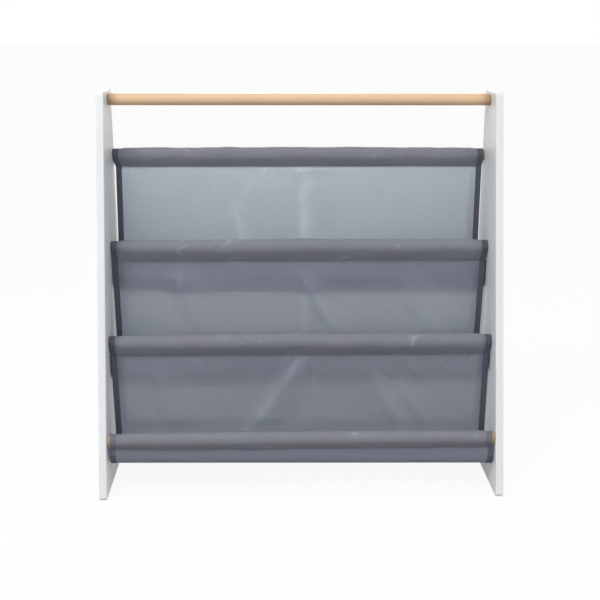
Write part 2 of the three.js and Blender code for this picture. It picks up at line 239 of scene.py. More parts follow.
# %% Side boards
ARRIS_RADIUS = 2
ARRIS_STEPS = 5
CORNER_STEPS = 10
FOOT_CORNER_RADIUS = 5
TOP_CORNER_RADIUS = 8
TOP_DEPTH = 78
CAP_RECESS_RADIUS = 6.8
CAP_RECESS_DEPTH = 1.5
SCREW_HEAD_RADIUS = 5.3
SCREW_HEAD_HEIGHT = 3
SCREW_HOLE_RADIUS = 2.8
CUT_OVERRUN = 1
HOLE_SEGMENTS = 40

board_low, board_high = (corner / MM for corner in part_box("side_panel_right"))
BOARD_HEIGHT = board_high.z
DOWELS = {
    "rail": "top_rail",
    "top": "sling_dowel_top",
    "upper": "sling_dowel_upper",
    "lower": "sling_dowel_lower",
    "front": "sling_dowel_front",
}
dowel_centres = {name: centre_of(node) for name, node in DOWELS.items()}


def board_corners():
    """The board's sharp corners as (y, z, radius). The slanted front edge ends a little in front
    of the rounded foot, where the foot's arc just reaches the board's lowest y."""
    front_top = board_high.y - TOP_DEPTH
    angle = math.atan2(BOARD_HEIGHT, front_top - board_low.y)
    front_foot = board_low.y + FOOT_CORNER_RADIUS - FOOT_CORNER_RADIUS / math.tan(angle / 2)
    return [(front_foot, 0, FOOT_CORNER_RADIUS), (board_high.y, 0, FOOT_CORNER_RADIUS),
            (board_high.y, BOARD_HEIGHT, TOP_CORNER_RADIUS),
            (front_top, BOARD_HEIGHT, TOP_CORNER_RADIUS)]


def board_outline(inset):
    """Points (y, z) round the outline, drawn in by inset."""
    corners = board_corners()
    points = []
    for index, (y, z, radius) in enumerate(corners):
        corner = Vector((y, z))
        back = (Vector(corners[index - 1][:2]) - corner).normalized()
        onward = (Vector(corners[(index + 1) % len(corners)][:2]) - corner).normalized()
        half_angle = back.angle(onward) / 2
        centre = corner + (back + onward).normalized() * radius / math.sin(half_angle)
        start = corner + back * radius / math.tan(half_angle) - centre
        sweep = math.pi - 2 * half_angle
        for step in range(CORNER_STEPS + 1):
            turn = Matrix.Rotation(sweep * step / CORNER_STEPS, 2)
            points.append(centre + turn @ start * (radius - inset) / radius)
    return points


def board_mesh(side):
    """A board without holes. side is 1 for the right one and -1 for the left one."""
    bm = bmesh.new()
    rings = []
    for face_x, inward in ((board_low.x, 1), (board_high.x, -1)):
        steps = range(ARRIS_STEPS + 1) if inward == 1 else range(ARRIS_STEPS, -1, -1)
        for step in steps:
            angle = math.pi / 2 * step / ARRIS_STEPS
            across = face_x + inward * ARRIS_RADIUS * (1 - math.cos(angle))
            inset = ARRIS_RADIUS * (1 - math.sin(angle))
            rings.append([bm.verts.new((side * across * MM, y * MM, z * MM))
                          for y, z in board_outline(inset)])
    skin(bm, rings)
    return bm


def hole_cutter(side):
    """From outside: the cap's recess, the screw head's countersink and the screw's hole."""
    recess_bottom = board_high.x - CAP_RECESS_DEPTH
    profile = [
        (0, board_low.x - CUT_OVERRUN), (SCREW_HOLE_RADIUS, board_low.x - CUT_OVERRUN),
        (SCREW_HOLE_RADIUS, recess_bottom - SCREW_HEAD_HEIGHT), (SCREW_HEAD_RADIUS, recess_bottom),
        (CAP_RECESS_RADIUS, recess_bottom), (CAP_RECESS_RADIUS, board_high.x + CUT_OVERRUN),
        (0, board_high.x + CUT_OVERRUN)]
    bm = bmesh.new()
    for centre in dowel_centres.values():
        turned(bm, profile, HOLE_SEGMENTS, centre, side)
    return bm


def side_board(side_name, side):
    """A finished board with its screw holes."""
    board = as_object("painted_board_" + side_name, board_mesh(side), painted_board)
    cutter = as_object("hole_cutter", hole_cutter(side), painted_board, weighted=False)
    cut = board.modifiers.new("screw holes", "BOOLEAN")
    cut.object = cutter
    cut.solver = "EXACT"
    board.modifiers.move(1, 0)
    with bpy.context.temp_override(object=board, active_object=board):
        bpy.ops.object.modifier_apply(modifier="screw holes")
    bpy.data.objects.remove(cutter)
    board.data.set_sharp_from_angle(angle=SMOOTH_ANGLE)
    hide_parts("side_panel_" + side_name)
    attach(board, "root")
    print(board.name, "faces:", len(board.data.polygons))


for side_name, side in (("left", -1), ("right", 1)):
    side_board(side_name, side)

# %% [markdown]
# The rail and the dowels are bare softwood, turned round and sanded. Such a bar is cut along the
# grain, so the growth rings show as long, nearly parallel lines. A solid texture gives this
# by itself: rings about the pith of a tree that stood far from the bar, stretched along its
# length and bent a little. Finer fibres lie on top. Sanded bare wood is matt, at a
# roughness near 0.6. Near its ends, where it meets the boards, each bar is painted darker: a
# painted shade of the boards.

# %% Sanded pine
EARLY_WOOD = "#e9cba7"
LATE_WOOD = "#d8b086"
PITH = (0, 130, 20)
# The growth rings wander by up to RING_WANDER mm over patches of WANDER_SIZE mm, which are drawn
# out along the bar. Late wood fills the end of each ring, the more sharply the higher its power.
RING_SPACING = 3.4
RING_WANDER = 5
WANDER_SIZE = 30
WANDER_SQUEEZE = 0.06
LATE_WOOD_POWER = 3
FIBRE_WIDTH = 0.5
FIBRE_LENGTH = 45
FIBRE_SHARE = 0.55
TONE_LIMITS = (0.1, 1.2)
# Painted shade: near both boards the bar's colour is blended toward this darker wood
END_SHADE_WOOD = "#ab8e6d"
END_SHADE_LENGTH = 22
BAR_HALF_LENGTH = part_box("top_rail")[1].x / MM


def sanded_pine():
    material, tree = blank_material("sanded_pine")
    place = add(tree, "ShaderNodeTexCoord").outputs["Object"]
    grain_space = add(tree, "ShaderNodeVectorMath", {
        0: place, 1: (WANDER_SQUEEZE, 1, 1)}, operation="MULTIPLY")
    wander = add(tree, "ShaderNodeTexNoise", {
        "Vector": grain_space.outputs[0], "Scale": 1 / (WANDER_SIZE * MM), "Detail": 2})
    from_pith = add(tree, "ShaderNodeVectorMath", {
        0: place, 1: [v * MM for v in PITH]}, operation="SUBTRACT")
    across = add(tree, "ShaderNodeVectorMath", {
        0: from_pith.outputs[0], 1: (0, 1, 1)}, operation="MULTIPLY")
    radius = add(tree, "ShaderNodeVectorMath", {0: across.outputs[0]}, operation="LENGTH")
    bent = add(tree, "ShaderNodeMath", {
        0: wander.outputs["Fac"], 1: RING_WANDER * MM, 2: radius.outputs["Value"]},
        operation="MULTIPLY_ADD")
    phase = add(tree, "ShaderNodeMath", {
        0: bent.outputs[0], 1: RING_SPACING * MM}, operation="DIVIDE")
    within_ring = add(tree, "ShaderNodeMath", {0: phase.outputs[0]}, operation="FRACT")
    late = add(tree, "ShaderNodeMath", {
        0: within_ring.outputs[0], 1: LATE_WOOD_POWER}, operation="POWER")
    fibre_space = add(tree, "ShaderNodeVectorMath", {
        0: place, 1: [1 / (length * MM) for length in (FIBRE_LENGTH, FIBRE_WIDTH, FIBRE_WIDTH)]},
        operation="MULTIPLY")
    fibre = add(tree, "ShaderNodeTexNoise", {
        "Vector": fibre_space.outputs[0], "Scale": 1, "Detail": 3, "Roughness": 0.6})
    tone = add(tree, "ShaderNodeMath", {
        0: fibre.outputs["Fac"], 1: FIBRE_SHARE, 2: late.outputs[0]}, operation="MULTIPLY_ADD")
    share = add(tree, "ShaderNodeMapRange", {
        "Value": tone.outputs[0], "From Min": TONE_LIMITS[0], "From Max": TONE_LIMITS[1]})
    bump = add(tree, "ShaderNodeBump", {
        "Strength": 0.25, "Distance": 0.05 * MM, "Height": tone.outputs[0]})
    wood = add(tree, "ShaderNodeMix", {
        "Factor": share.outputs["Result"], FIRST: linear(EARLY_WOOD), SECOND: linear(LATE_WOOD)},
        data_type="RGBA")
    side = add(tree, "ShaderNodeSeparateXYZ", {0: place})
    from_middle = add(tree, "ShaderNodeMath", {0: side.outputs["X"]}, operation="ABSOLUTE")
    at_end = add(tree, "ShaderNodeMapRange", {
        "Value": from_middle.outputs[0], "From Min": (BAR_HALF_LENGTH - END_SHADE_LENGTH) * MM,
        "From Max": BAR_HALF_LENGTH * MM}, interpolation_type="SMOOTHSTEP")
    # Painted shade of the boards, blended in over the last millimetres at each end of the bar
    painted_end_shade = add(tree, "ShaderNodeMix", {
        "Factor": at_end.outputs["Result"], FIRST: wood.outputs[BLEND], SECOND: linear(END_SHADE_WOOD)},
        data_type="RGBA")
    surface = add(tree, "ShaderNodeBsdfPrincipled", {
        "Base Color": painted_end_shade.outputs[BLEND],
        "Roughness": 0.55, "Normal": bump.outputs["Normal"], "IOR": 1.5})
    return finish_material(material, tree, surface.outputs["BSDF"])


pine = sanded_pine()

# %% [markdown]
# A dowel is a turned bar with its ends eased and a pilot hole for the screw in each. The
# profile starts and ends on the axis, so one lathe pass gives the bar and its holes.

# %% Rail and dowels
DOWEL_SEGMENTS = 72
END_EASE = 0.8
EASE_STEPS = 3
PILOT_RADIUS = 2.8
PILOT_PAST_SCREW = 3

bar_low, bar_high = (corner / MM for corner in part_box("top_rail"))
DOWEL_RADIUS = (bar_high.z - bar_low.z) / 2
screw_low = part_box("screw_rail_right")[0].x / MM
PILOT_BOTTOM = screw_low - PILOT_PAST_SCREW


def bar_profile():
    """Half of the bar's profile, from the pilot hole's bottom to the bar's middle."""
    half = [(0, PILOT_BOTTOM), (PILOT_RADIUS, PILOT_BOTTOM), (PILOT_RADIUS, BAR_HALF_LENGTH)]
    for step in range(EASE_STEPS + 1):
        angle = math.pi / 2 * step / EASE_STEPS
        half.append((DOWEL_RADIUS - END_EASE * (1 - math.sin(angle)),
                     BAR_HALF_LENGTH - END_EASE * (1 - math.cos(angle))))
    return half


for name, node in DOWELS.items():
    half = bar_profile()
    bm = bmesh.new()
    turned(bm, [(r, -x) for r, x in half] + half[::-1], DOWEL_SEGMENTS, dowel_centres[name])
    bar = as_object("wood_" + node, bm, pine)
    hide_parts(node)
    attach(bar, "root")
print("bars:", len(DOWELS), "of radius", round(DOWEL_RADIUS, 2), "mm")

# %% [markdown]
# Each bar end is held by a zinc-plated screw through the board, hidden under a flush plastic
# cap. Zinc plating shows a fine spangle, which changes its colour and gloss a little from place
# to place. The caps are moulded polypropylene, matt white like the paint, with the very fine
# grain of the mould.

# %% Zinc and moulded plastic
ZINC = "#cfd1d3"
ZINC_SHADE = "#b9bcbf"
SPANGLE_SIZE = 0.8
CAP_WHITE = "#eeeeec"
CAP_SHADE = "#e8e8e5"
MOULD_GRAIN = 0.4


def zinc_plated_steel():
    material, tree = blank_material("zinc_plated_steel")
    place = add(tree, "ShaderNodeTexCoord").outputs["Object"]
    spangle = add(tree, "ShaderNodeTexNoise", {
        "Vector": place, "Scale": 1 / (SPANGLE_SIZE * MM)})
    rough = add(tree, "ShaderNodeMapRange", {
        "Value": spangle.outputs["Fac"], "To Min": 0.28, "To Max": 0.42})
    metal = add(tree, "ShaderNodeMix", {
        "Factor": spangle.outputs["Fac"], FIRST: linear(ZINC), SECOND: linear(ZINC_SHADE)},
        data_type="RGBA")
    surface = add(tree, "ShaderNodeBsdfPrincipled", {
        "Base Color": metal.outputs[BLEND],
        "Metallic": 1, "Roughness": rough.outputs["Result"]})
    return finish_material(material, tree, surface.outputs["BSDF"])


def moulded_white_polypropylene():
    material, tree = blank_material("moulded_white_polypropylene")
    place = add(tree, "ShaderNodeTexCoord").outputs["Object"]
    grain = add(tree, "ShaderNodeTexNoise", {"Vector": place, "Scale": 1 / (MOULD_GRAIN * MM)})
    bump = add(tree, "ShaderNodeBump", {
        "Strength": 0.1, "Distance": 0.03 * MM, "Height": grain.outputs["Fac"]})
    plastic = add(tree, "ShaderNodeMix", {
        "Factor": grain.outputs["Fac"], FIRST: linear(CAP_WHITE), SECOND: linear(CAP_SHADE)},
        data_type="RGBA")
    surface = add(tree, "ShaderNodeBsdfPrincipled", {
        "Base Color": plastic.outputs[BLEND],
        "Roughness": 0.42, "IOR": 1.49, "Normal": bump.outputs["Normal"]})
    return finish_material(material, tree, surface.outputs["BSDF"])


zinc = zinc_plated_steel()
polypropylene = moulded_white_polypropylene()

# %% [markdown]
# The screws stay as the CAD made them and only get their metal. A cap has a soft rim and a short
# stem, so it is turned again with more steps.

# %% Cover caps
CAP_RADIUS = 6.5
CAP_THICKNESS = 1.2
CAP_RIM = 0.45
CAP_STEM_RADIUS = 1.5
CAP_STEM_LENGTH = 1.8
CAP_SEGMENTS = 48


def cap_profile():
    """From the stem's inner end round the rim to the middle of the cap's face."""
    back = board_high.x - CAP_THICKNESS
    points = [(0, back - CAP_STEM_LENGTH), (CAP_STEM_RADIUS, back - CAP_STEM_LENGTH),
              (CAP_STEM_RADIUS, back), (CAP_RADIUS, back)]
    for step in range(EASE_STEPS + 1):
        angle = math.pi / 2 * step / EASE_STEPS
        points.append((CAP_RADIUS - CAP_RIM * (1 - math.cos(angle)),
                       board_high.x - CAP_RIM * (1 - math.sin(angle))))
    return points + [(0, board_high.x)]


for name, centre in dowel_centres.items():
    for side_name, side in (("left", -1), ("right", 1)):
        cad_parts[f"screw_{name}_{side_name}"].data.materials[0] = zinc
        bm = bmesh.new()
        turned(bm, cap_profile(), CAP_SEGMENTS, centre, side)
        cap = as_object(f"moulded_cap_{name}_{side_name}", bm, polypropylene)
        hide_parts(f"cover_cap_{name}_{side_name}")
        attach(cap, "root")
print("caps and screws at each end of", len(dowel_centres), "bars")

# %% [markdown]
# The slings are a thin plain-woven polyester, grey with a hint of blue. Held against the light it
# glows, and where two or three layers lie together it turns darker and bluer. So the cloth is
# a real thin solid whose faces both reflect and let light through: the light of a Principled
# shader and that of a Translucent one are added. Each ray passes two faces, and the colours are
# chosen for that. Along its creases and wrinkles the cloth is painted paler, which is a painted
# sheen highlight. How much is worked out for each of its points further on, and comes to the
# shader as the attribute streak.
# The threads of such a cloth are about 0.3 mm apart, too fine to show, so they are drawn at
# 0.9 mm. The weave follows the UV map, whose unit is a metre of cloth.
# The hems are the same cloth, folded over, so less light gets through them and their glow is
# darker and bluer. Their face colour is darker than the cloth's too, which is painted shade of the
# boards beside them.

# %% Woven polyester
CLOTH_FACE = "#6f6c72"
CLOTH_FACE_SHADE = "#625f66"
CLOTH_GLOW = "#bbc4cb"
CLOTH_GLOW_SHADE = "#afb8bf"
# Painted sheen highlight: the paler face and glow colours that the streaks blend in
SHEEN_STREAK_FACE = "#828187"
SHEEN_STREAK_GLOW = "#cfd7de"
# Painted shade: the hems' face colours are darker than the cloth's to stand for the boards' shade
HEM_FACE_BOARD_SHADED = "#5e5f69"
HEM_FACE_BOARD_SHADED_DARK = "#565761"
HEM_GLOW = "#6c7484"
HEM_GLOW_SHADE = "#646c7c"
THREAD_SPACING = 0.9
SLUB_LENGTH = 26
SLUB_SHARE = 0.7


def thread_waves(tree, place, spacing):
    """Heights from 0 to 1 of warp and weft threads, crossing over and under."""
    turns = add(tree, "ShaderNodeVectorMath", {
        0: place, "Scale": math.pi / (spacing * MM)}, operation="SCALE")
    axes = add(tree, "ShaderNodeSeparateXYZ", {0: turns.outputs[0]})
    waves = [add(tree, "ShaderNodeMath", {0: axes.outputs[axis]}, operation="SINE").outputs[0]
             for axis in ("X", "Y")]
    crossing = add(tree, "ShaderNodeMath", {0: waves[0], 1: waves[1]}, operation="MULTIPLY")
    return add(tree, "ShaderNodeMapRange", {
        "Value": crossing.outputs[0], "From Min": -1, "From Max": 1}).outputs["Result"]


def woven_cloth(name, face, face_shade, glow, glow_shade):
    """Cloth that reflects and glows, both painted paler along the streaks as a painted sheen
    highlight.
    """
    material, tree = blank_material(name)
    streak = add(tree, "ShaderNodeAttribute", attribute_name="streak").outputs["Fac"]
    place = add(tree, "ShaderNodeTexCoord").outputs["UV"]
    weave = thread_waves(tree, place, THREAD_SPACING)
    slub_space = add(tree, "ShaderNodeVectorMath", {
        0: place, 1: (1 / (SLUB_LENGTH * MM), 1 / (2 * THREAD_SPACING * MM), 1)},
        operation="MULTIPLY")
    slub = add(tree, "ShaderNodeTexNoise", {
        "Vector": slub_space.outputs[0], "Scale": 1, "Detail": 2}, noise_dimensions="2D")
    tone = add(tree, "ShaderNodeMath", {
        0: slub.outputs["Fac"], 1: SLUB_SHARE, 2: weave}, operation="MULTIPLY_ADD")
    share = add(tree, "ShaderNodeMapRange", {
        "Value": tone.outputs[0], "From Max": 1 + SLUB_SHARE})
    bump = add(tree, "ShaderNodeBump", {
        "Strength": 0.2, "Distance": 0.12 * MM, "Height": tone.outputs[0]})
    colours = []
    for shade, full, sheen_colour in ((face_shade, face, SHEEN_STREAK_FACE), (glow_shade, glow, SHEEN_STREAK_GLOW)):
        woven = add(tree, "ShaderNodeMix", {
            "Factor": share.outputs["Result"], FIRST: linear(shade), SECOND: linear(full)},
            data_type="RGBA")
        # Painted sheen highlight, blended in where the attribute streak is above 0
        with_painted_sheen = add(tree, "ShaderNodeMix", {
            "Factor": streak, FIRST: woven.outputs[BLEND], SECOND: linear(sheen_colour)},
            data_type="RGBA")
        colours.append(with_painted_sheen.outputs[BLEND])
    reflecting = add(tree, "ShaderNodeBsdfPrincipled", {
        "Base Color": colours[0],
        "Roughness": 0.66, "IOR": 1.5, "Specular IOR Level": 0.1,
        "Normal": bump.outputs["Normal"]})
    glowing = add(tree, "ShaderNodeBsdfTranslucent", {
        "Color": colours[1], "Normal": bump.outputs["Normal"]})
    surface = add(tree, "ShaderNodeAddShader", {0: reflecting.outputs[0], 1: glowing.outputs[0]})
    return finish_material(material, tree, surface.outputs[0])


polyester = woven_cloth(
    "plain_woven_polyester", CLOTH_FACE, CLOTH_FACE_SHADE, CLOTH_GLOW, CLOTH_GLOW_SHADE)
hem_tape = woven_cloth(
    "folded_polyester_hem", HEM_FACE_BOARD_SHADED, HEM_FACE_BOARD_SHADED_DARK, HEM_GLOW, HEM_GLOW_SHADE)

# %% [markdown]
# A sling is one long strip of cloth. Seen from the side its line starts behind the rear seam,
# climbs behind the dowel, goes over it and down to the seam again, which makes the sleeve.
# It hangs on as the sheet, turns through the round bottom of the pocket and climbs as the flap
# to the seam of the next sleeve. The lowest sling ends in a sleeve round the front dowel.
# The line is set out from the dowels, in the YZ plane, with the same number of points at each
# place across the width, so that the cloth becomes a regular grid.

# %% Sizes of the slings
CLOTH = 0.5
LAYER_GAP = 0.06
SLEEVE_CLEARANCE = 0.35
SLEEVE_SLACK = 1.6
TURNED_IN_SHORTER = 3.8
# Where the seam of each sleeve lies, in front of its dowel's centre and under it
SEAM_FORWARD = {"top": 2.5, "upper": 2.5, "lower": 2.5, "front": 2}
SEAM_DROP = {"top": 18.4, "upper": 22.4, "lower": 20.9, "front": 13.3}
# How far each pocket hangs under its fore dowel, how much higher its right end is than its left
# one, and the half widths to the left and right, in the order in which the line passes them
SLINGS = {
    "upper": {"rear": "top", "fore": "upper", "drop": 66.4, "tilt": -4, "seed": 11.3, "halves": {
        "sleeve": (297.3, 294.9), "seam": (293.2, 294.2), "low": (294.8, 294.2),
        "flap": (297.3, 297.3)}},
    "middle": {"rear": "upper", "fore": "lower", "drop": 56.5, "tilt": 6, "seed": 23.9, "halves": {
        "sleeve": (297, 297), "seam": (296.4, 294.6), "low": (294.5, 291.5),
        "flap": (297.3, 297.3)}},
    "lower": {"rear": "lower", "fore": "front", "drop": 42.2, "tilt": -5.5, "seed": 37.1, "halves": {
        "sleeve": (297, 297), "seam": (295.6, 295), "low": (293.2, 294), "flap": (294.6, 297),
        "front": (292.8, 292.8)}},
}
LAYER = CLOTH + LAYER_GAP
SLEEVE_RADIUS = DOWEL_RADIUS + SLEEVE_CLEARANCE + CLOTH / 2
print("radius of a sleeve:", round(SLEEVE_RADIUS, 2), "mm")

# %% Curves of the line
FOLD_STEPS = 5
TURNED_IN_STEPS = 7
SLEEVE_STEPS = 26


def seam_of(dowel):
    """Where the two layers of a sleeve are sewn together, as (y, z)."""
    y, z = dowel_centres[dowel]
    return y - SEAM_FORWARD[dowel], z - SEAM_DROP[dowel]


def swell(share):
    """0 at either side edge of the cloth and 1 in the middle."""
    return max(0.0, 1 - share ** 2)


def between(start, end, steps, first=1):
    """Points that divide the straight way from start to end, without the start."""
    return [tuple(a + (b - a) * step / steps for a, b in zip(start, end))
            for step in range(first, steps + 1)]


def quarter(centre, across, down, steps, falling):
    """A quarter ellipse of the pocket's bottom, without its first point."""
    points = []
    for step in range(1, steps + 1):
        angle = math.pi / 2 * (step / steps if falling else 1 + step / steps)
        points.append((centre[0] + across * math.cos(angle), centre[1] - down * math.sin(angle)))
    return points


def sleeve_arc(dowel, share):
    """The cloth over a dowel, from its rear tangent over the top to its front tangent."""
    y, z = dowel_centres[dowel]
    seam_y, seam_z = seam_of(dowel)
    spread = math.acos(SLEEVE_RADIUS / math.hypot(seam_y - y, seam_z - z))
    seam_angle = math.atan2(seam_z - z, seam_y - y) % math.tau
    start, sweep = seam_angle + spread - math.tau, math.tau - 2 * spread
    lift = SLEEVE_SLACK * swell(share)
    points = []
    for step in range(SLEEVE_STEPS + 1):
        angle = start + sweep * step / SLEEVE_STEPS
        rise = SLEEVE_RADIUS * math.sin(angle) + lift * max(0, math.sin(angle))
        points.append((y + SLEEVE_RADIUS * math.cos(angle), z + rise))
    return points


def turned_in(seam, front_tangent):
    """The cut edge inside the sleeve, along its front layer, then its fold at the seam."""
    y, z = seam
    up = Vector((front_tangent[0] - (y - LAYER), front_tangent[1] - z))
    inside = Vector(seam) + up * (1 - TURNED_IN_SHORTER / up.length)
    fold = []
    for step in range(1, FOLD_STEPS + 1):
        angle = math.pi * step / FOLD_STEPS
        fold.append((y + LAYER / 2 - LAYER / 2 * math.cos(angle),
                     z + LAYER / 2 - LAYER / 2 * math.sin(angle)))
    return between(tuple(inside), (y, z + LAYER / 2), TURNED_IN_STEPS, first=0) + fold


# %% [markdown]
# With these curves the line is put together, part by part. Every row knows its part, because
# the parts get creases, streaks and seams of their own. The sheet bows back a little under its
# own weight, most in its lower half. A plain flap ends behind the next dowel's seam, where it is
# sewn in, and the flap of the lowest sling goes on into the front sleeve.

# %% The line of a sling
SHEET_ROWS = 46
SHEET_BOW = 3
SHEET_BOW_LOW = 1.5
BOTTOM_FRONT = (11, 15)
BOTTOM_REAR_HEIGHT = 34
FLAP_BEHIND = 2.4
FLAP_KNEE_DROP = 9
# Where a plain flap ends: how far behind the next seam, and how far above it
FLAP_END = (2.2 * LAYER, -0.2)


def stretch(rows, points, half_from, half_to, part):
    """Adds points to the rows with both half widths going evenly from one pair to another."""
    for step, (y, z) in enumerate(points):
        share = step / max(1, len(points) - 1)
        halves = [a + (b - a) * share for a, b in zip(half_from, half_to)]
        rows.append((y, z, halves, part, share))


def rear_sleeve(rows, sling, share):
    """Adds the turned-in edge and the sleeve, and returns the sheet's first point."""
    halves, seam = sling["halves"], seam_of(sling["rear"])
    arc = sleeve_arc(sling["rear"], share)
    hidden = turned_in(seam, arc[-1])
    sheet_start = (seam[0] - LAYER, seam[1])
    stretch(rows, hidden, halves["seam"], halves["seam"], "turned in")
    stretch(rows, between(hidden[-1], arc[0], steps=8)[:-1], halves["seam"], halves["sleeve"],
            "rear layer")
    stretch(rows, arc, halves["sleeve"], halves["sleeve"], "sleeve")
    stretch(rows, between(arc[-1], sheet_start, steps=9), halves["sleeve"], halves["seam"],
            "front layer")
    return sheet_start


def pocket(rows, sling, share, sheet_start, flap_y):
    """Adds the sheet and the pocket's round bottom, and returns the bottom's last point."""
    halves, (start_y, start_z) = sling["halves"], sheet_start
    lowest_z = dowel_centres[sling["fore"]][1] - sling["drop"] + sling["tilt"] * share / 2
    lowest_y = flap_y + BOTTOM_FRONT[0]
    rear_turn_z = lowest_z + BOTTOM_REAR_HEIGHT
    sheet = []
    for step in range(1, SHEET_ROWS + 1):
        down = step / SHEET_ROWS
        bow = SHEET_BOW * swell(share) * math.sin(math.pi * down ** SHEET_BOW_LOW)
        sheet.append((start_y + bow, start_z + (rear_turn_z - start_z) * down))
    stretch(rows, sheet, halves["seam"], halves["low"], "sheet")
    bottom = quarter((lowest_y, rear_turn_z), start_y - lowest_y, BOTTOM_REAR_HEIGHT,
                     steps=18, falling=True)
    bottom += quarter((lowest_y, lowest_z + BOTTOM_FRONT[1]), *BOTTOM_FRONT,
                      steps=12, falling=False)
    stretch(rows, bottom, halves["low"], halves["flap"], "bottom")
    return bottom[-1]


def front_sleeve(rows, sling, share, flap_start, seam):
    """Adds the lowest sling's flap and its sleeve, which is the rear one run backwards."""
    halves = sling["halves"]
    arc = sleeve_arc("front", share)[::-1]
    hidden = turned_in(seam_of("front"), arc[0])[::-1]
    stretch(rows, between(flap_start, seam, steps=6), halves["flap"], halves["flap"], "flap")
    stretch(rows, between(seam, arc[0], steps=7)[:-1], halves["flap"], halves["front"],
            "front layer")
    stretch(rows, arc, halves["front"], halves["front"], "sleeve")
    stretch(rows, between(arc[-1], hidden[0], steps=7)[:-1], halves["front"], halves["front"],
            "rear layer")
    stretch(rows, hidden, halves["front"], halves["front"], "turned in")


def sling_line(sling, share):
    """Rows of (y, z, half widths, part, share of the part) along the middle of the cloth's
    thickness. share goes from -1 at the left edge of the cloth to 1 at the right one."""
    last = sling["fore"] == "front"
    fore_y, fore_z = seam_of(sling["fore"])
    flap_y = fore_y - LAYER if last else fore_y + FLAP_BEHIND
    rows = []
    sheet_start = rear_sleeve(rows, sling, share)
    flap_start = pocket(rows, sling, share, sheet_start, flap_y)
    if last:
        front_sleeve(rows, sling, share, flap_start, (flap_y, fore_z))
        return rows
    flap = sling["halves"]["flap"]
    knee = (flap_y, fore_z - FLAP_KNEE_DROP)
    sewn_in = (fore_y + FLAP_END[0], fore_z + FLAP_END[1])
    stretch(rows, between(flap_start, knee, steps=10), flap, flap, "flap")
    stretch(rows, between(knee, sewn_in, steps=4), flap, flap, "flap end")
    return rows


for name, sling in SLINGS.items():
    line = sling_line(sling, 0)
    run = sum(math.dist(a[:2], b[:2]) for a, b in zip(line, line[1:]))
    sling["length"] = run
    print("sling", name, "has", len(line), "rows and", round(run), "mm of cloth along its line")

# %% [markdown]
# No cloth hangs perfectly smooth. This one came folded in a box, so creases run over every
# tier: one down its middle, and others aslant, where the sleeves pull on it. A simulation would
# round them off, so each crease is set down as a line on the sheet with a height: a ridge with
# a lit flank on its left and a longer one on its right.

# %% Creases
# Creases of each sheet, in mm: x and depth under the seam where each starts and ends, the widths
# of its left and right flanks, and its height. The last value, from 0 to 1, says how strong a
# painted sheen highlight runs along it.
CREASES = {
    "upper": [(14, -80, 2, 210, 24, 70, 11, 0.75), (-64, 0, -108, 84, 16, 60, 5, 0.32),
              (-108, 50, -78, 160, 22, 44, 7, 0.36), (-158, -20, -132, 56, 12, 20, 4, 0.1),
              (-62, -20, -34, 40, 9, 18, 2.8, 0.1), (112, -30, 146, 64, 16, 36, 5, 0.12),
              (206, -20, 140, 140, 34, 70, 4.5, 0)],
    "middle": [(6, -20, 8, 150, 14, 40, 3, 0.25), (-14, -10, 84, 160, 18, 44, 6, 0.2),
               (10, 30, 104, 170, 12, 26, 2.6, 0.1), (-214, -20, -150, 140, 28, 60, 6, 0.04),
               (152, -30, 212, 70, 14, 30, 4.2, 0.12), (160, 10, 240, 150, 32, 60, 6, 0.22),
               (-24, -8, -4, 16, 7, 9, 1.8, 0.15), (-68, -10, -50, 24, 6, 10, 1.8, 0.15),
               (-178, -16, -196, 50, 12, 24, 3, 0.15)],
    "lower": [(24, -30, -116, 176, 24, 60, 9, 0.5), (24, -40, 24, 120, 7, 24, 2.6, 0.1),
              (-2, 10, 0, 130, 12, 40, 3, 0.12), (112, 20, 178, 150, 26, 60, 7.5, 0.4),
              (150, 30, 210, 130, 16, 36, 4, 0.2), (116, -16, 142, 40, 9, 18, 3, 0.15),
              (154, -16, 188, 44, 9, 20, 3.4, 0.15), (200, -16, 240, 38, 9, 16, 2.8, 0.15),
              (-240, -20, -186, 150, 26, 50, 4.6, 0)],
}


def smooth(value, start, end):
    """0 before start and 1 after end, with an even rise between."""
    part = min(1.0, max(0.0, (value - start) / (end - start)))
    return part * part * (3 - 2 * part)


def place_on(crease, x, below):
    """How far along a crease a point lies, from 0 to 1, and how far to its right, in mm."""
    start_x, start, end_x, end = crease[:4]
    along = (below - start) / (end - start)
    return along, x - start_x - (end_x - start_x) * along


def crease_height(crease, x, below):
    """The height of one crease at a point of the sheet."""
    left_flank, right_flank, height = crease[4:7]
    along, off = place_on(crease, x, below)
    if not 0 < along < 1:
        return 0.0
    flank = 1 + off / left_flank if off < 0 else 1 - off / right_flank
    return height * max(0.0, flank + math.sin(math.pi * along) - 1)


print("creases:", {name: len(creases) for name, creases in CREASES.items()})

# %% [markdown]
# Between its creases a stiff thin cloth stays nearly flat, so it breaks into facets with crisp
# edges, unlike the soft swells of a heavy one. Facets come from a bent grid of triangles with
# chance heights at its corners. Short puckers lie under each seam, where the thread gathers the
# cloth. All of it comes from noise with fixed seeds, so it is the same on each run. Each pattern
# adds a number of its own to the sling's seed, so that no two are alike. noise_vector, which
# bends the facets, also shifts its pattern by an amount that it draws from the clock, unless
# seed_set fixes that as well.

# %% Facets and puckers
# Sizes of the facets across the cloth, and how high their corners stand, in mm
FACETS = [(105, 8), (46, 3.4)]
FACET_SEED = 2
FACET_BEND = 0.45
FACET_SLANT = 0.4
PUCKER_SIZE = (7, 30)
PUCKER_SLANT = 0.5
PUCKER_FADE = 11
PUCKER_HEIGHT = 1.6
GATHER_SIZE = 48
LEAST_GATHER = 0.15
SEAM_HOLDS = 30

noise.seed_set(FACET_SEED)


def chance(i, j, seed):
    """A fixed random value from 0 to 1 for a corner of the facets' grid."""
    return (noise.cell(Vector((i + 0.5, j + 0.5, seed))) + 1) / 2


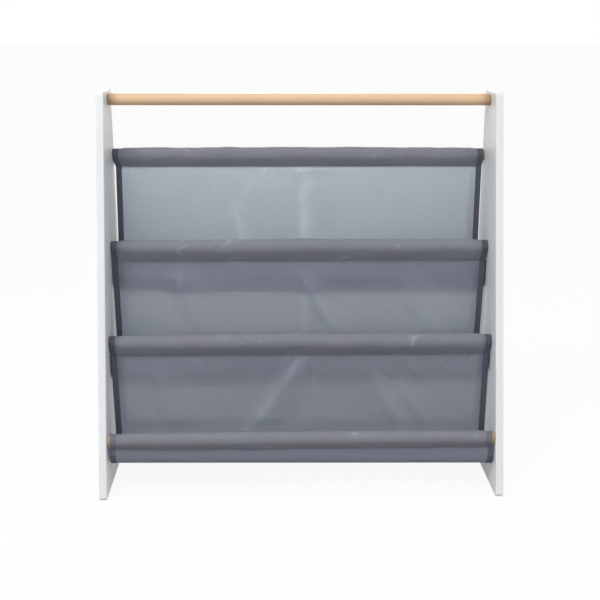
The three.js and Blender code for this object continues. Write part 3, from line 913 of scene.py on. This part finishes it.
def drift(x, y, size, seed):
    """Smooth noise, from -1 to 1, over patches of size (across, down) in mm."""
    return noise.noise(Vector((x / size[0], y / size[1], seed)))


def facet_height(x, below, size, seed):
    """The height, from 0 to 1, of a surface of flat triangles with crisp edges."""
    bend = noise.noise_vector(Vector((x / size / 2, below / size / 2, seed))) * FACET_BEND
    u, v = x / size + FACET_SLANT * below / size + bend.x, below / size + bend.y
    i, j = math.floor(u), math.floor(v)
    across, down = u - i, v - j
    near, far = chance(i, j, seed), chance(i + 1, j + 1, seed)
    if across > down:
        corner = chance(i + 1, j, seed)
        return near + (corner - near) * across + (far - corner) * down
    corner = chance(i, j + 1, seed)
    return near + (corner - near) * down + (far - corner) * across


def pucker_height(name, x, below):
    """The height of the gathers under a seam, from 0 to about 1, before they fade."""
    seed = SLINGS[name]["seed"]
    gathered = smooth(noise.noise(Vector((x / GATHER_SIZE, seed, 2.5))), 0, 0.35)
    gathered = LEAST_GATHER + (1 - LEAST_GATHER) * gathered
    ridge = abs(drift(x + PUCKER_SLANT * below, below, PUCKER_SIZE, seed + 3))
    return gathered * smooth(ridge, 0.1, 0.5)


def pucker_fade(below):
    """1 at the seam, and less and less under it."""
    return math.exp(-max(0.0, below) / PUCKER_FADE)


def sheet_relief(name, x, below):
    """How far the sheet stands forward of its smooth shape, at x and below the seam, in mm."""
    seed = SLINGS[name]["seed"]
    height = sum(amount * facet_height(x, below, size, seed + size) for size, amount in FACETS)
    height += sum(crease_height(crease, x, below) for crease in CREASES[name])
    height *= smooth(below, -4, SEAM_HOLDS)
    return height + PUCKER_HEIGHT * pucker_height(name, x, below) * pucker_fade(below)


# %% [markdown]
# A sleeve is pulled tight round its dowel, so its facets are smaller, and one thin crease goes
# over its middle. A flap lies behind the next sheet and takes on that sheet's shape, and the
# lowest flap, which lies free, only swells a little. Where one part ends its relief fades, so
# that the parts meet without a step.

# %% Relief of each part
SLEEVE_FACETS = [(38, 2.2), (17, 1.4)]
SLEEVE_FACET_SLANT = 1.2
SLEEVE_CREASE_X = 5
SLEEVE_CREASE_WIDTH = 4
SLEEVE_CREASE_HEIGHT = 0.5
LOWEST_FLAP_SWELL = 0.6
LOWEST_FLAP_SIZE = 24
BOTTOM_KEEPS = 0.4
SLEEVE_REAR_KEEPS = 0.3


def sleeve_relief(name, x, around):
    """How far a sleeve's cloth stands off its smooth shape. around is in mm along the line."""
    seed = SLINGS[name]["seed"] + 50
    height = sum(amount * facet_height(x + SLEEVE_FACET_SLANT * around, around, size, seed + size)
                 for size, amount in SLEEVE_FACETS)
    from_crease = abs(x - SLEEVE_CREASE_X) / SLEEVE_CREASE_WIDTH
    return height + SLEEVE_CREASE_HEIGHT * math.exp(-from_crease)


def flap_relief(name, share, x, point_z):
    """How far a flap stands off its smooth shape, share of the way up it."""
    sling = SLINGS[name]
    if sling["fore"] == "front":
        place = Vector((x / LOWEST_FLAP_SIZE, share * 1.5, sling["seed"]))
        return LOWEST_FLAP_SWELL * noise.noise(place) * math.sin(math.pi * share)
    onward = "middle" if name == "upper" else "lower"
    below = seam_of(sling["fore"])[1] - point_z
    return -sheet_relief(onward, x, below) * smooth(share, 0, 0.25) * smooth(share, 1, 0.8)


def relief(name, part, share, x, point_z, travelled):
    """The cloth's height over its smooth line, by the part of the line that a point is on."""
    below = seam_of(SLINGS[name]["rear"])[1] - point_z
    if part == "sheet":
        hold = smooth(share, 0, 0.05) * (1 - (1 - BOTTOM_KEEPS) * smooth(share, 0.8, 1))
        return sheet_relief(name, x, below) * hold
    if part == "bottom":
        return BOTTOM_KEEPS * sheet_relief(name, x, below) * (1 - smooth(share, 0, 0.7))
    if part == "sleeve":
        hold = SLEEVE_REAR_KEEPS + (1 - SLEEVE_REAR_KEEPS) * share
        return sleeve_relief(name, x, travelled) * hold
    if part == "front layer":
        return sleeve_relief(name, x, travelled) * (1 - share) ** 0.6
    if part == "flap":
        return flap_relief(name, share, x, point_z)
    return 0.0


# %% [markdown]
# Along the creases of a sheet the cloth is painted paler, both in front and against the light,
# as a painted sheen highlight. Such streaks follow the creases of a sheet, but they wander off
# them a little, break up and fade at both ends. They are crisp on the left and soft on the right.
# The tips of the puckers and thin wrinkles in patches of the sleeves get the same painted
# highlight.

# %% Painted sheen streaks
SHEEN_STREAK_SHARE = 0.5
STREAK_WANDER = 4
STREAK_WANDER_SIZE = (40, 22)
STREAK_BREAK_SIZE = (30, 35)
STREAK_LEAST_WIDTH = 0.3
STREAK_WIDENS = 0.4
WRINKLE_SHEEN_SHARE = 0.6
WRINKLE_SLANT = 1.5
WRINKLE_SIZE = (30, 40)
WRINKLE_PATCH_SIZE = (34, 26)


def crease_sheen(crease, x, below, seed):
    """How much painted sheen highlight one crease lays on a point of its sheet. Widths are shares of
    its left flank.
    """
    left_flank, pale = crease[4], crease[7]
    along, off = place_on(crease, x, below)
    if not 0 < along < 1:
        return 0.0
    off += STREAK_WANDER * drift(x, below, STREAK_WANDER_SIZE, seed + 70)
    wider, soft_edge = (1, 0.6) if off < 0 else (1.5, 1)
    width = left_flank * (STREAK_LEAST_WIDTH + STREAK_WIDENS * along) * wider
    band = smooth(1 - abs(off) / width, 0, soft_edge)
    band *= smooth(math.sin(math.pi * along), 0, 0.6)
    band *= 0.75 + drift(x, below, STREAK_BREAK_SIZE, seed + 71)
    return band * pale


def painted_sheen_share(name, part, x, point_z, travelled):
    """How much painted sheen highlight the cloth gets at a point, from 0 to 1."""
    seed = SLINGS[name]["seed"]
    if part in ("sleeve", "front layer"):
        ridge = abs(drift(x + WRINKLE_SLANT * travelled, travelled, WRINKLE_SIZE, seed + 60))
        patch = smooth(drift(x, travelled, WRINKLE_PATCH_SIZE, seed + 61), 0.1, 0.35)
        return WRINKLE_SHEEN_SHARE * patch * smooth(ridge, 0.045, 0.01)
    if part != "sheet":
        return 0.0
    below = seam_of(SLINGS[name]["rear"])[1] - point_z
    creased = max(crease_sheen(crease, x, below, seed) for crease in CREASES[name])
    return SHEEN_STREAK_SHARE * max(0.0, creased, pucker_height(name, x, below) * pucker_fade(below))


# %% [markdown]
# Now the grid is woven: 200 columns across the width, and one row for each point of the line.
# Solidify then gives it half a millimetre of thickness. The UV map is laid in metres of cloth.
# The hems hold the side edges straight, so the relief only begins beyond them and grows over
# EDGE_STILL mm. The lowest sling's second sleeve, past FRONT_SLEEVE_FROM mm of its line, runs
# backwards, so its relief is turned round to stand off the dowel too.

# %% Weave the slings
COLUMNS = 200
HEM_WIDTH = 8.8
EDGE_STILL = 12
FRONT_SLEEVE_FROM = 150


def half_at(halves, share):
    """The half width on the side that share, from -1 at the left to 1 at the right, lies on."""
    return halves[0] if share < 0 else halves[1]


def cloth_surface(name, share):
    """The points of one column of a sling as (point, normal, distance travelled, streak)."""
    rows = sling_line(SLINGS[name], share)
    travelled, points = 0.0, []
    for index, (y, z, halves, part, part_share) in enumerate(rows):
        before, after = rows[max(0, index - 1)], rows[min(len(rows) - 1, index + 1)]
        run = Vector((after[0] - before[0], after[1] - before[1])).normalized()
        normal = Vector((0, run.y, -run.x))
        if index:
            travelled += math.dist(rows[index - 1][:2], (y, z))
        half = half_at(halves, share)
        x = share * half
        still = smooth(half - abs(x), HEM_WIDTH, HEM_WIDTH + EDGE_STILL)
        height = relief(name, part, part_share, x, z, travelled) * still
        if travelled > FRONT_SLEEVE_FROM and part in ("sleeve", "front layer"):
            height = -height
        streak = painted_sheen_share(name, part, x, z, travelled) * still
        points.append((Vector((x, y, z)) + normal * height, normal, travelled, streak))
    return points


def weave(name):
    """A sling as a grid with a UV map and the attribute streak."""
    columns = [cloth_surface(name, -1 + 2 * k / COLUMNS) for k in range(COLUMNS + 1)]
    columns_of[name] = columns
    bm = bmesh.new()
    uv = bm.loops.layers.uv.new("cloth")
    streak = bm.verts.layers.float.new("streak")
    grid = [[bm.verts.new(point[0] * MM) for point in column] for column in columns]
    for vertices, column in zip(grid, columns):
        for vertex, point in zip(vertices, column):
            vertex[streak] = point[3]
    for i in range(COLUMNS):
        for j in range(len(columns[0]) - 1):
            corners = [(i, j), (i + 1, j), (i + 1, j + 1), (i, j + 1)]
            face = bm.faces.new([grid[a][b] for a, b in corners])
            for loop, (a, b) in zip(face.loops, corners):
                point, _, travelled, _ = columns[a][b]
                loop[uv].uv = (point.x * MM, travelled * MM)
    mesh = bpy.data.meshes.new("cloth_sling_" + name)
    bm.to_mesh(mesh)
    bm.free()
    mesh.materials.append(polyester)
    mesh.shade_smooth()
    piece = linked("cloth_sling_" + name, mesh)
    solid = piece.modifiers.new("cloth thickness", "SOLIDIFY")
    solid.thickness = CLOTH * MM
    solid.offset = 0
    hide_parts("sling_" + name)
    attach(piece, "root")
    print(piece.name, "grid points:", len(mesh.vertices))
    return piece


columns_of = {}
cloths = {name: weave(name) for name in SLINGS}

# %% [markdown]
# The side edges of each sling are hemmed: the cloth is folded over and stitched, which makes
# a darker band about 9 mm wide because less light gets through. Its face colour is darker
# than the cloth's as well, and that part is painted shade of the boards beside it. The hem is
# modelled as a folded tape that wraps the edge from the sleeve to the top of the flap. Its
# section is a ring with one leg on either face of the cloth. Where another layer of cloth lies
# against a face, that leg shrinks away, so that the ring neither cuts into the cloth nor turns
# inside out. On the lowest sling the sleeve and the flap stand clear of the boards' shade, so
# FRONT_HEM_LESS_SHADE mixes in some of the streak's colour, which lifts the hems' painted shade
# there.

# %% Hems
HEM_THICKNESS = 0.35
HEM_CLEARANCE = 0.05
HEM_ROUND_STEPS = 6
HEM_LEAST_SHARE = 0.1
HEM_BULGE = 0.5
HEM_UV_STEP = 2
FOLD_IN_ROWS = 4
# How much of the hems' painted shade is lifted on the lowest sling, for each part
FRONT_HEM_LESS_SHADE = {"front layer": 0.33, "sleeve": 0.33, "rear layer": 0.33, "flap": 0.2}


def first_of_sheet(rows):
    """The number of a line's first row on the sheet."""
    return next(k for k, row in enumerate(rows) if row[3] == "sheet")


def leg_shares(k, first_sheet, part, along, last):
    """How much of its front leg and of its rear one the hem has at row k."""
    if k < first_sheet + FOLD_IN_ROWS:
        return 1, max(0, (k - first_sheet) / FOLD_IN_ROWS)
    if part in ("rear layer", "sleeve", "front layer", "flap end"):
        return 0, 1
    if part == "flap" and last:
        return 1 - along, 1
    return 1, 1


def hem_ring(side, halves, front_share, rear_share):
    """Points (across, lift) round the hem's section, with legs as long as their shares say."""
    near = CLOTH / 2 + HEM_CLEARANCE
    edge = half_at(halves, side) + HEM_CLEARANCE
    legs = [HEM_WIDTH * max(HEM_LEAST_SHARE, share) for share in (front_share, rear_share)]
    reach = [near + HEM_THICKNESS * max(HEM_LEAST_SHARE, share)
             for share in (front_share, rear_share)]
    ring = [(edge - legs[0], reach[0]), (edge, reach[0])]
    for step in range(1, HEM_ROUND_STEPS):
        angle = math.pi * step / HEM_ROUND_STEPS
        lift = reach[0 if math.cos(angle) > 0 else 1] * math.cos(angle)
        ring.append((edge + HEM_BULGE * math.sin(angle), lift))
    return ring + [(edge, -reach[1]), (edge - legs[1], -reach[1]), (edge - legs[1], -near),
                   (edge, -near), (edge, near), (edge - legs[0], near)]


def hem(name, side_name, side):
    """The hem along one edge of a sling. side is -1 for the left edge and 1 for the right."""
    rows, surface = sling_line(SLINGS[name], side), cloth_surface(name, side)
    first_sheet = first_of_sheet(rows)
    kept = [k for k, row in enumerate(rows) if row[3] != "turned in"]
    bm = bmesh.new()
    uv = bm.loops.layers.uv.new("cloth")
    streak = bm.verts.layers.float.new("streak")
    last = SLINGS[name]["fore"] == "front"
    rings, distances = [], []
    for k in kept:
        _, _, halves, part, along = rows[k]
        point, normal, travelled, _ = surface[k]
        shares = leg_shares(k, first_sheet, part, along, last)
        ring = [bm.verts.new((Vector((side * across, point.y, point.z)) + normal * lift) * MM)
                for across, lift in hem_ring(side, halves, *shares)]
        for vertex in ring:
            vertex[streak] = FRONT_HEM_LESS_SHADE.get(part, 0) if last and k > first_sheet else 0
        rings.append(ring)
        distances.append(travelled)
    size = len(rings[0])
    for j in range(len(rings) - 1):
        for k in range(size):
            following = (k + 1) % size
            face = bm.faces.new((rings[j][k], rings[j][following],
                                 rings[j + 1][following], rings[j + 1][k]))
            places = ((k, j), (k + 1, j), (k + 1, j + 1), (k, j + 1))
            for loop, (a, b) in zip(face.loops, places):
                loop[uv].uv = (a * HEM_UV_STEP * MM, distances[b] * MM)
    bm.faces.new(rings[0])
    bm.faces.new(rings[-1])
    piece = as_object(f"hem_{name}_{side_name}", bm, hem_tape, weighted=False)
    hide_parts(f"binding_{name}_{side_name}")
    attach(piece, "root")
    return piece


hems = {name: [hem(name, "left", -1), hem(name, "right", 1)] for name in SLINGS}
print("hems:", sum(len(pair) for pair in hems.values()))

# %% [markdown]
# The slings are sewn with a fine twisted polyester thread of the cloth's own grey, drawn a little
# thicker than its real 0.3 mm. Its twist of 0.6 mm would be too fine to show, so a turn is drawn
# every 1.1 mm: a diagonal wave texture repeats every 0.63 m at scale 1, and every 0.63 times
# TWIST_DRAWN at the scale used here.

# %% Sewing thread
THREAD_COLOUR = "#76757c"
THREAD_SHADE = "#5c5b63"
THREAD_RADIUS = 0.22
TWIST_DRAWN = 1.8


def twisted_sewing_thread():
    material, tree = blank_material("twisted_sewing_thread")
    place = add(tree, "ShaderNodeTexCoord").outputs["Object"]
    twist = add(tree, "ShaderNodeTexWave", {
        "Vector": place, "Scale": 1 / (TWIST_DRAWN * MM), "Distortion": 0},
        bands_direction="DIAGONAL")
    bump = add(tree, "ShaderNodeBump", {
        "Strength": 0.3, "Distance": 0.05 * MM, "Height": twist.outputs["Fac"]})
    strands = add(tree, "ShaderNodeMix", {
        "Factor": twist.outputs["Fac"], FIRST: linear(THREAD_SHADE),
        SECOND: linear(THREAD_COLOUR)}, data_type="RGBA")
    surface = add(tree, "ShaderNodeBsdfPrincipled", {
        "Base Color": strands.outputs[BLEND],
        "Roughness": 0.5, "IOR": 1.5, "Specular IOR Level": 0.3,
        "Normal": bump.outputs["Normal"]})
    return finish_material(material, tree, surface.outputs["BSDF"])


sewing_thread = twisted_sewing_thread()

# %% [markdown]
# Every seam is a lockstitch, which shows as a row of short threads, each about 2.4 mm long with a
# small gap to the next, and dipping into the cloth at both ends. A stitch is a bent tube, made
# where the cloth already is, so it follows every pucker.

# %% Stitches
STITCH_PITCH = 3
STITCH_SHARE = 0.8
STITCH_SIDES = 5
# How far along a stitch each of its rings lies, and how far it stands out, in thread radii
STITCH_ARC_SHARES = [(0, -1.2), (0.2, 0.5), (0.5, 1.0), (0.8, 0.5), (1, -1.2)]


def add_stitch(bm, start, end, outward):
    """Adds one bent thread from start to end, both on the cloth's face, in mm."""
    along = (end - start).normalized()
    sideways = along.cross(outward)
    rings = []
    for share, stand in STITCH_ARC_SHARES:
        centre = start.lerp(end, share) + outward * THREAD_RADIUS * stand
        angles = [math.tau * k / STITCH_SIDES for k in range(STITCH_SIDES)]
        rings.append([bm.verts.new((centre + THREAD_RADIUS * (
            sideways * math.cos(angle) + outward * math.sin(angle))) * MM) for angle in angles])
    skin(bm, rings)


# %% [markdown]
# The rows of stitches run along the sleeves' seams, in front and behind, and along the hems'
# inner edges, on both faces. All those of one sling make one piece, in one mesh, because there
# are thousands of them.

# %% Rows of stitches
SEAM_MARGIN = 2.2
HEM_MARGIN = 1.3


def seam_stitches(bm, name, row, face):
    """A row of stitches across the width. face is the side of the cloth that they show on."""
    columns = columns_of[name]
    for before, after in zip(columns[1:-2], columns[2:-1]):
        outward = before[row][1] * face
        lift = outward * CLOTH / 2
        start, end = before[row][0] + lift, after[row][0] + lift
        add_stitch(bm, start, start.lerp(end, STITCH_SHARE), outward)


def row_near(name, part, height, last=False):
    """The number of the part's row whose height is nearest, after the sheet if last."""
    rows = sling_line(SLINGS[name], 0)
    first_sheet = first_of_sheet(rows)
    wanted = [k for k, row in enumerate(rows) if row[3] == part and (k > first_sheet) == last]
    return min(wanted, key=lambda k: abs(rows[k][1] - height))


def hem_stitches(bm, name, side, face):
    """A row of stitches down a hem, near its inner edge."""
    rows, surface = sling_line(SLINGS[name], side), cloth_surface(name, side)
    lift = CLOTH / 2 + HEM_CLEARANCE + HEM_THICKNESS
    whole_from = first_of_sheet(rows) + FOLD_IN_ROWS
    kept = [k for k, row in enumerate(rows)
            if row[3] in ("sheet", "bottom", "flap") and k > whole_from]
    due = surface[kept[0]][2]
    for k, following in zip(kept, kept[1:]):
        (start, normal, travelled, _), (end, _, onward, _) = surface[k], surface[following]
        while due + STITCH_PITCH * STITCH_SHARE < onward:
            step = onward - travelled
            ends = [start.lerp(end, (place - travelled) / step)
                    for place in (due, due + STITCH_PITCH * STITCH_SHARE)]
            across = side * (half_at(rows[k][2], side) - HEM_WIDTH + HEM_MARGIN)
            ends = [Vector((across, point.y, point.z)) + normal * lift * face for point in ends]
            add_stitch(bm, *ends, normal * face)
            due += STITCH_PITCH


stitches = {}
for name, sling in SLINGS.items():
    bm = bmesh.new()
    seam_height = seam_of(sling["rear"])[1] + SEAM_MARGIN
    seam_stitches(bm, name, row_near(name, "front layer", seam_height), 1)
    seam_stitches(bm, name, row_near(name, "rear layer", seam_height), 1)
    if sling["fore"] == "front":
        front_height = seam_of("front")[1] + SEAM_MARGIN
        seam_stitches(bm, name, row_near(name, "front layer", front_height, last=True), -1)
        seam_stitches(bm, name, row_near(name, "rear layer", front_height, last=True), -1)
    for side in (-1, 1):
        for face in (-1, 1):
            hem_stitches(bm, name, side, face)
    stitches[name] = as_object("stitches_" + name, bm, sewing_thread, weighted=False)
    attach(stitches[name], "root")
    print(stitches[name].name, "faces:", len(stitches[name].data.polygons))

# %% [markdown]
# Each sling is a sheet of cloth that hangs from two dowels, with its hems and stitches on it.

# %% [markdown]
# The shelf stands on a white floor in front of nothing, as in a shop's picture. To the
# camera, and in gloss and glass, the floor and the sky are white, while the light that they
# send to the object stays at a plain level. The cloth counts as neither, so the Light Path
# test leaves out the rays that go through it. A studio's walls are darker than the paper in
# front of the camera, so the sky's light is dimmed toward both sides and toward the rear. That
# keeps the boards' faces and the cloth, seen against the light, from washing out. The floor, the
# sky and the lamps belong to the studio, and their lengths are in metres.

# %% Floor and sky
SKY_LIGHT = 1.22
SIDE_DIMMING = 0.95
REAR_DIMMING = 0.76
FLOOR_WHITE_SHARE = 0.9
FLOOR_TO_OBJECT = "#a4a4a4"
FLOOR_TO_CAMERA = "#f4f4f4"
WHITE = "#ffffff"
FLOOR_HALF = 20


def seen_as_white(tree):
    """1 for camera and glossy rays and for rays through glass, and 0 for diffuse light."""
    path = add(tree, "ShaderNodeLightPath")
    not_diffuse = add(tree, "ShaderNodeMath", {
        0: 1, 1: path.outputs["Is Diffuse Ray"]}, operation="SUBTRACT")
    through_glass = add(tree, "ShaderNodeMath", {
        0: path.outputs["Is Transmission Ray"], 1: not_diffuse.outputs[0]}, operation="MULTIPLY")
    glossy = add(tree, "ShaderNodeMath", {
        0: path.outputs["Is Camera Ray"], 1: path.outputs["Is Glossy Ray"]}, operation="MAXIMUM")
    return add(tree, "ShaderNodeMath", {
        0: glossy.outputs[0], 1: through_glass.outputs[0]}, operation="MAXIMUM").outputs[0]


def white_floor():
    material, tree = blank_material("white_floor")
    seen = seen_as_white(tree)
    dim = add(tree, "ShaderNodeBsdfDiffuse", {"Color": linear(FLOOR_TO_OBJECT)})
    pale = add(tree, "ShaderNodeBsdfDiffuse", {"Color": linear(FLOOR_TO_CAMERA)})
    white = add(tree, "ShaderNodeEmission", {"Color": linear(WHITE), "Strength": 1})
    shown = add(tree, "ShaderNodeMixShader", {
        0: FLOOR_WHITE_SHARE, 1: pale.outputs[0], 2: white.outputs[0]})
    surface = add(tree, "ShaderNodeMixShader", {
        0: seen, 1: dim.outputs[0], 2: shown.outputs[0]})
    return finish_material(material, tree, surface.outputs[0])


floor_mesh = bpy.data.meshes.new("floor")
floor_corners = [(-FLOOR_HALF, -FLOOR_HALF, 0), (FLOOR_HALF, -FLOOR_HALF, 0),
                 (FLOOR_HALF, FLOOR_HALF, 0), (-FLOOR_HALF, FLOOR_HALF, 0)]
floor_mesh.from_pydata(floor_corners, [], [(0, 1, 2, 3)])
floor_mesh.materials.append(white_floor())
floor = linked("floor", floor_mesh)

sky = bpy.data.worlds.new("white_sky")
sky.use_nodes = True
sky.node_tree.nodes.clear()
tree = sky.node_tree
toward = add(tree, "ShaderNodeSeparateXYZ", {
    0: add(tree, "ShaderNodeTexCoord").outputs["Generated"]})
sideways = add(tree, "ShaderNodeMath", {
    0: toward.outputs["X"], 1: toward.outputs["X"]}, operation="MULTIPLY")
rearward = add(tree, "ShaderNodeMath", {0: toward.outputs["Y"], 1: 0}, operation="MAXIMUM")
side_dimmed = add(tree, "ShaderNodeMath", {
    0: sideways.outputs[0], 1: -SIDE_DIMMING, 2: 1}, operation="MULTIPLY_ADD")
dimmed = add(tree, "ShaderNodeMath", {
    0: rearward.outputs[0], 1: -REAR_DIMMING, 2: side_dimmed.outputs[0]}, operation="MULTIPLY_ADD")
light = add(tree, "ShaderNodeMath", {
    0: dimmed.outputs[0], 1: SKY_LIGHT}, operation="MULTIPLY")
strength = add(tree, "ShaderNodeMapRange", {
    "Value": seen_as_white(tree), "To Min": light.outputs[0], "To Max": 1})
background = add(tree, "ShaderNodeBackground", {
    "Color": linear(WHITE), "Strength": strength.outputs["Result"]})
add(tree, "ShaderNodeOutputWorld", {"Surface": background.outputs[0]})
bpy.context.scene.world = sky

# %% [markdown]
# The lamps are those of a shop's photo studio. A strong soft box stands high up in front on the
# left and a weak one on the right. The rail shows where: it is brightest at 60 degrees above
# the front. A weak one at either side lights the boards' outer faces. Two stand behind, where
# their light comes through the cloth: a wide high one for all the slings, and one for the highest
# sheet alone, with a grid that keeps its beam narrow and leaves the lower ones in the shade.

# %% Lamps
SHELF_MIDDLE = (0, 0, 0.3)
WARM_WHITE = "#fff6ea"


def soft_lamp(name, place, target, size, power, colour=WHITE, beam=180):
    """An area lamp of size (width, height) in metres. beam is the angle of its grid in degrees."""
    lamp = linked(name, bpy.data.lights.new(name, "AREA"))
    lamp.data.shape = "RECTANGLE"
    lamp.data.size, lamp.data.size_y = size
    lamp.data.energy = power
    lamp.data.color = linear(colour)[:3]
    lamp.data.spread = math.radians(beam)
    lamp.location = place
    lamp.rotation_euler = (Vector(target) - Vector(place)).to_track_quat("-Z", "Y").to_euler()
    lamp.visible_camera = False
    print("lamp:", name, power, "W")


soft_lamp("left_softbox", (-0.95, -1.2, 1.95), SHELF_MIDDLE, (0.7, 0.7), 12.8)
soft_lamp("right_softbox", (1.15, -1.35, 2.15), SHELF_MIDDLE, (0.7, 0.7), 3)
for side_name, side in (("left", -1), ("right", 1)):
    soft_lamp(side_name + "_side_softbox", (side * 2.6, 0, 0.55), SHELF_MIDDLE, (0.5, 0.8), 0.75,
              beam=40)
soft_lamp("rear_softbox", (0, 2.7, 1.4), (0, 0.1, 0.45), (1.5, 0.4), 1.7, WARM_WHITE, 70)
soft_lamp("rear_grid_softbox", (0, 3.2, 0.95), (0, 0.1, 0.92), (0.9, 0.3), 5.1, WARM_WHITE, 26)

# %% [markdown]
# The colours were matched to a photograph, so the Standard view transform shows them unchanged.

# %% View settings
bpy.context.scene.view_settings.view_transform = "Standard"
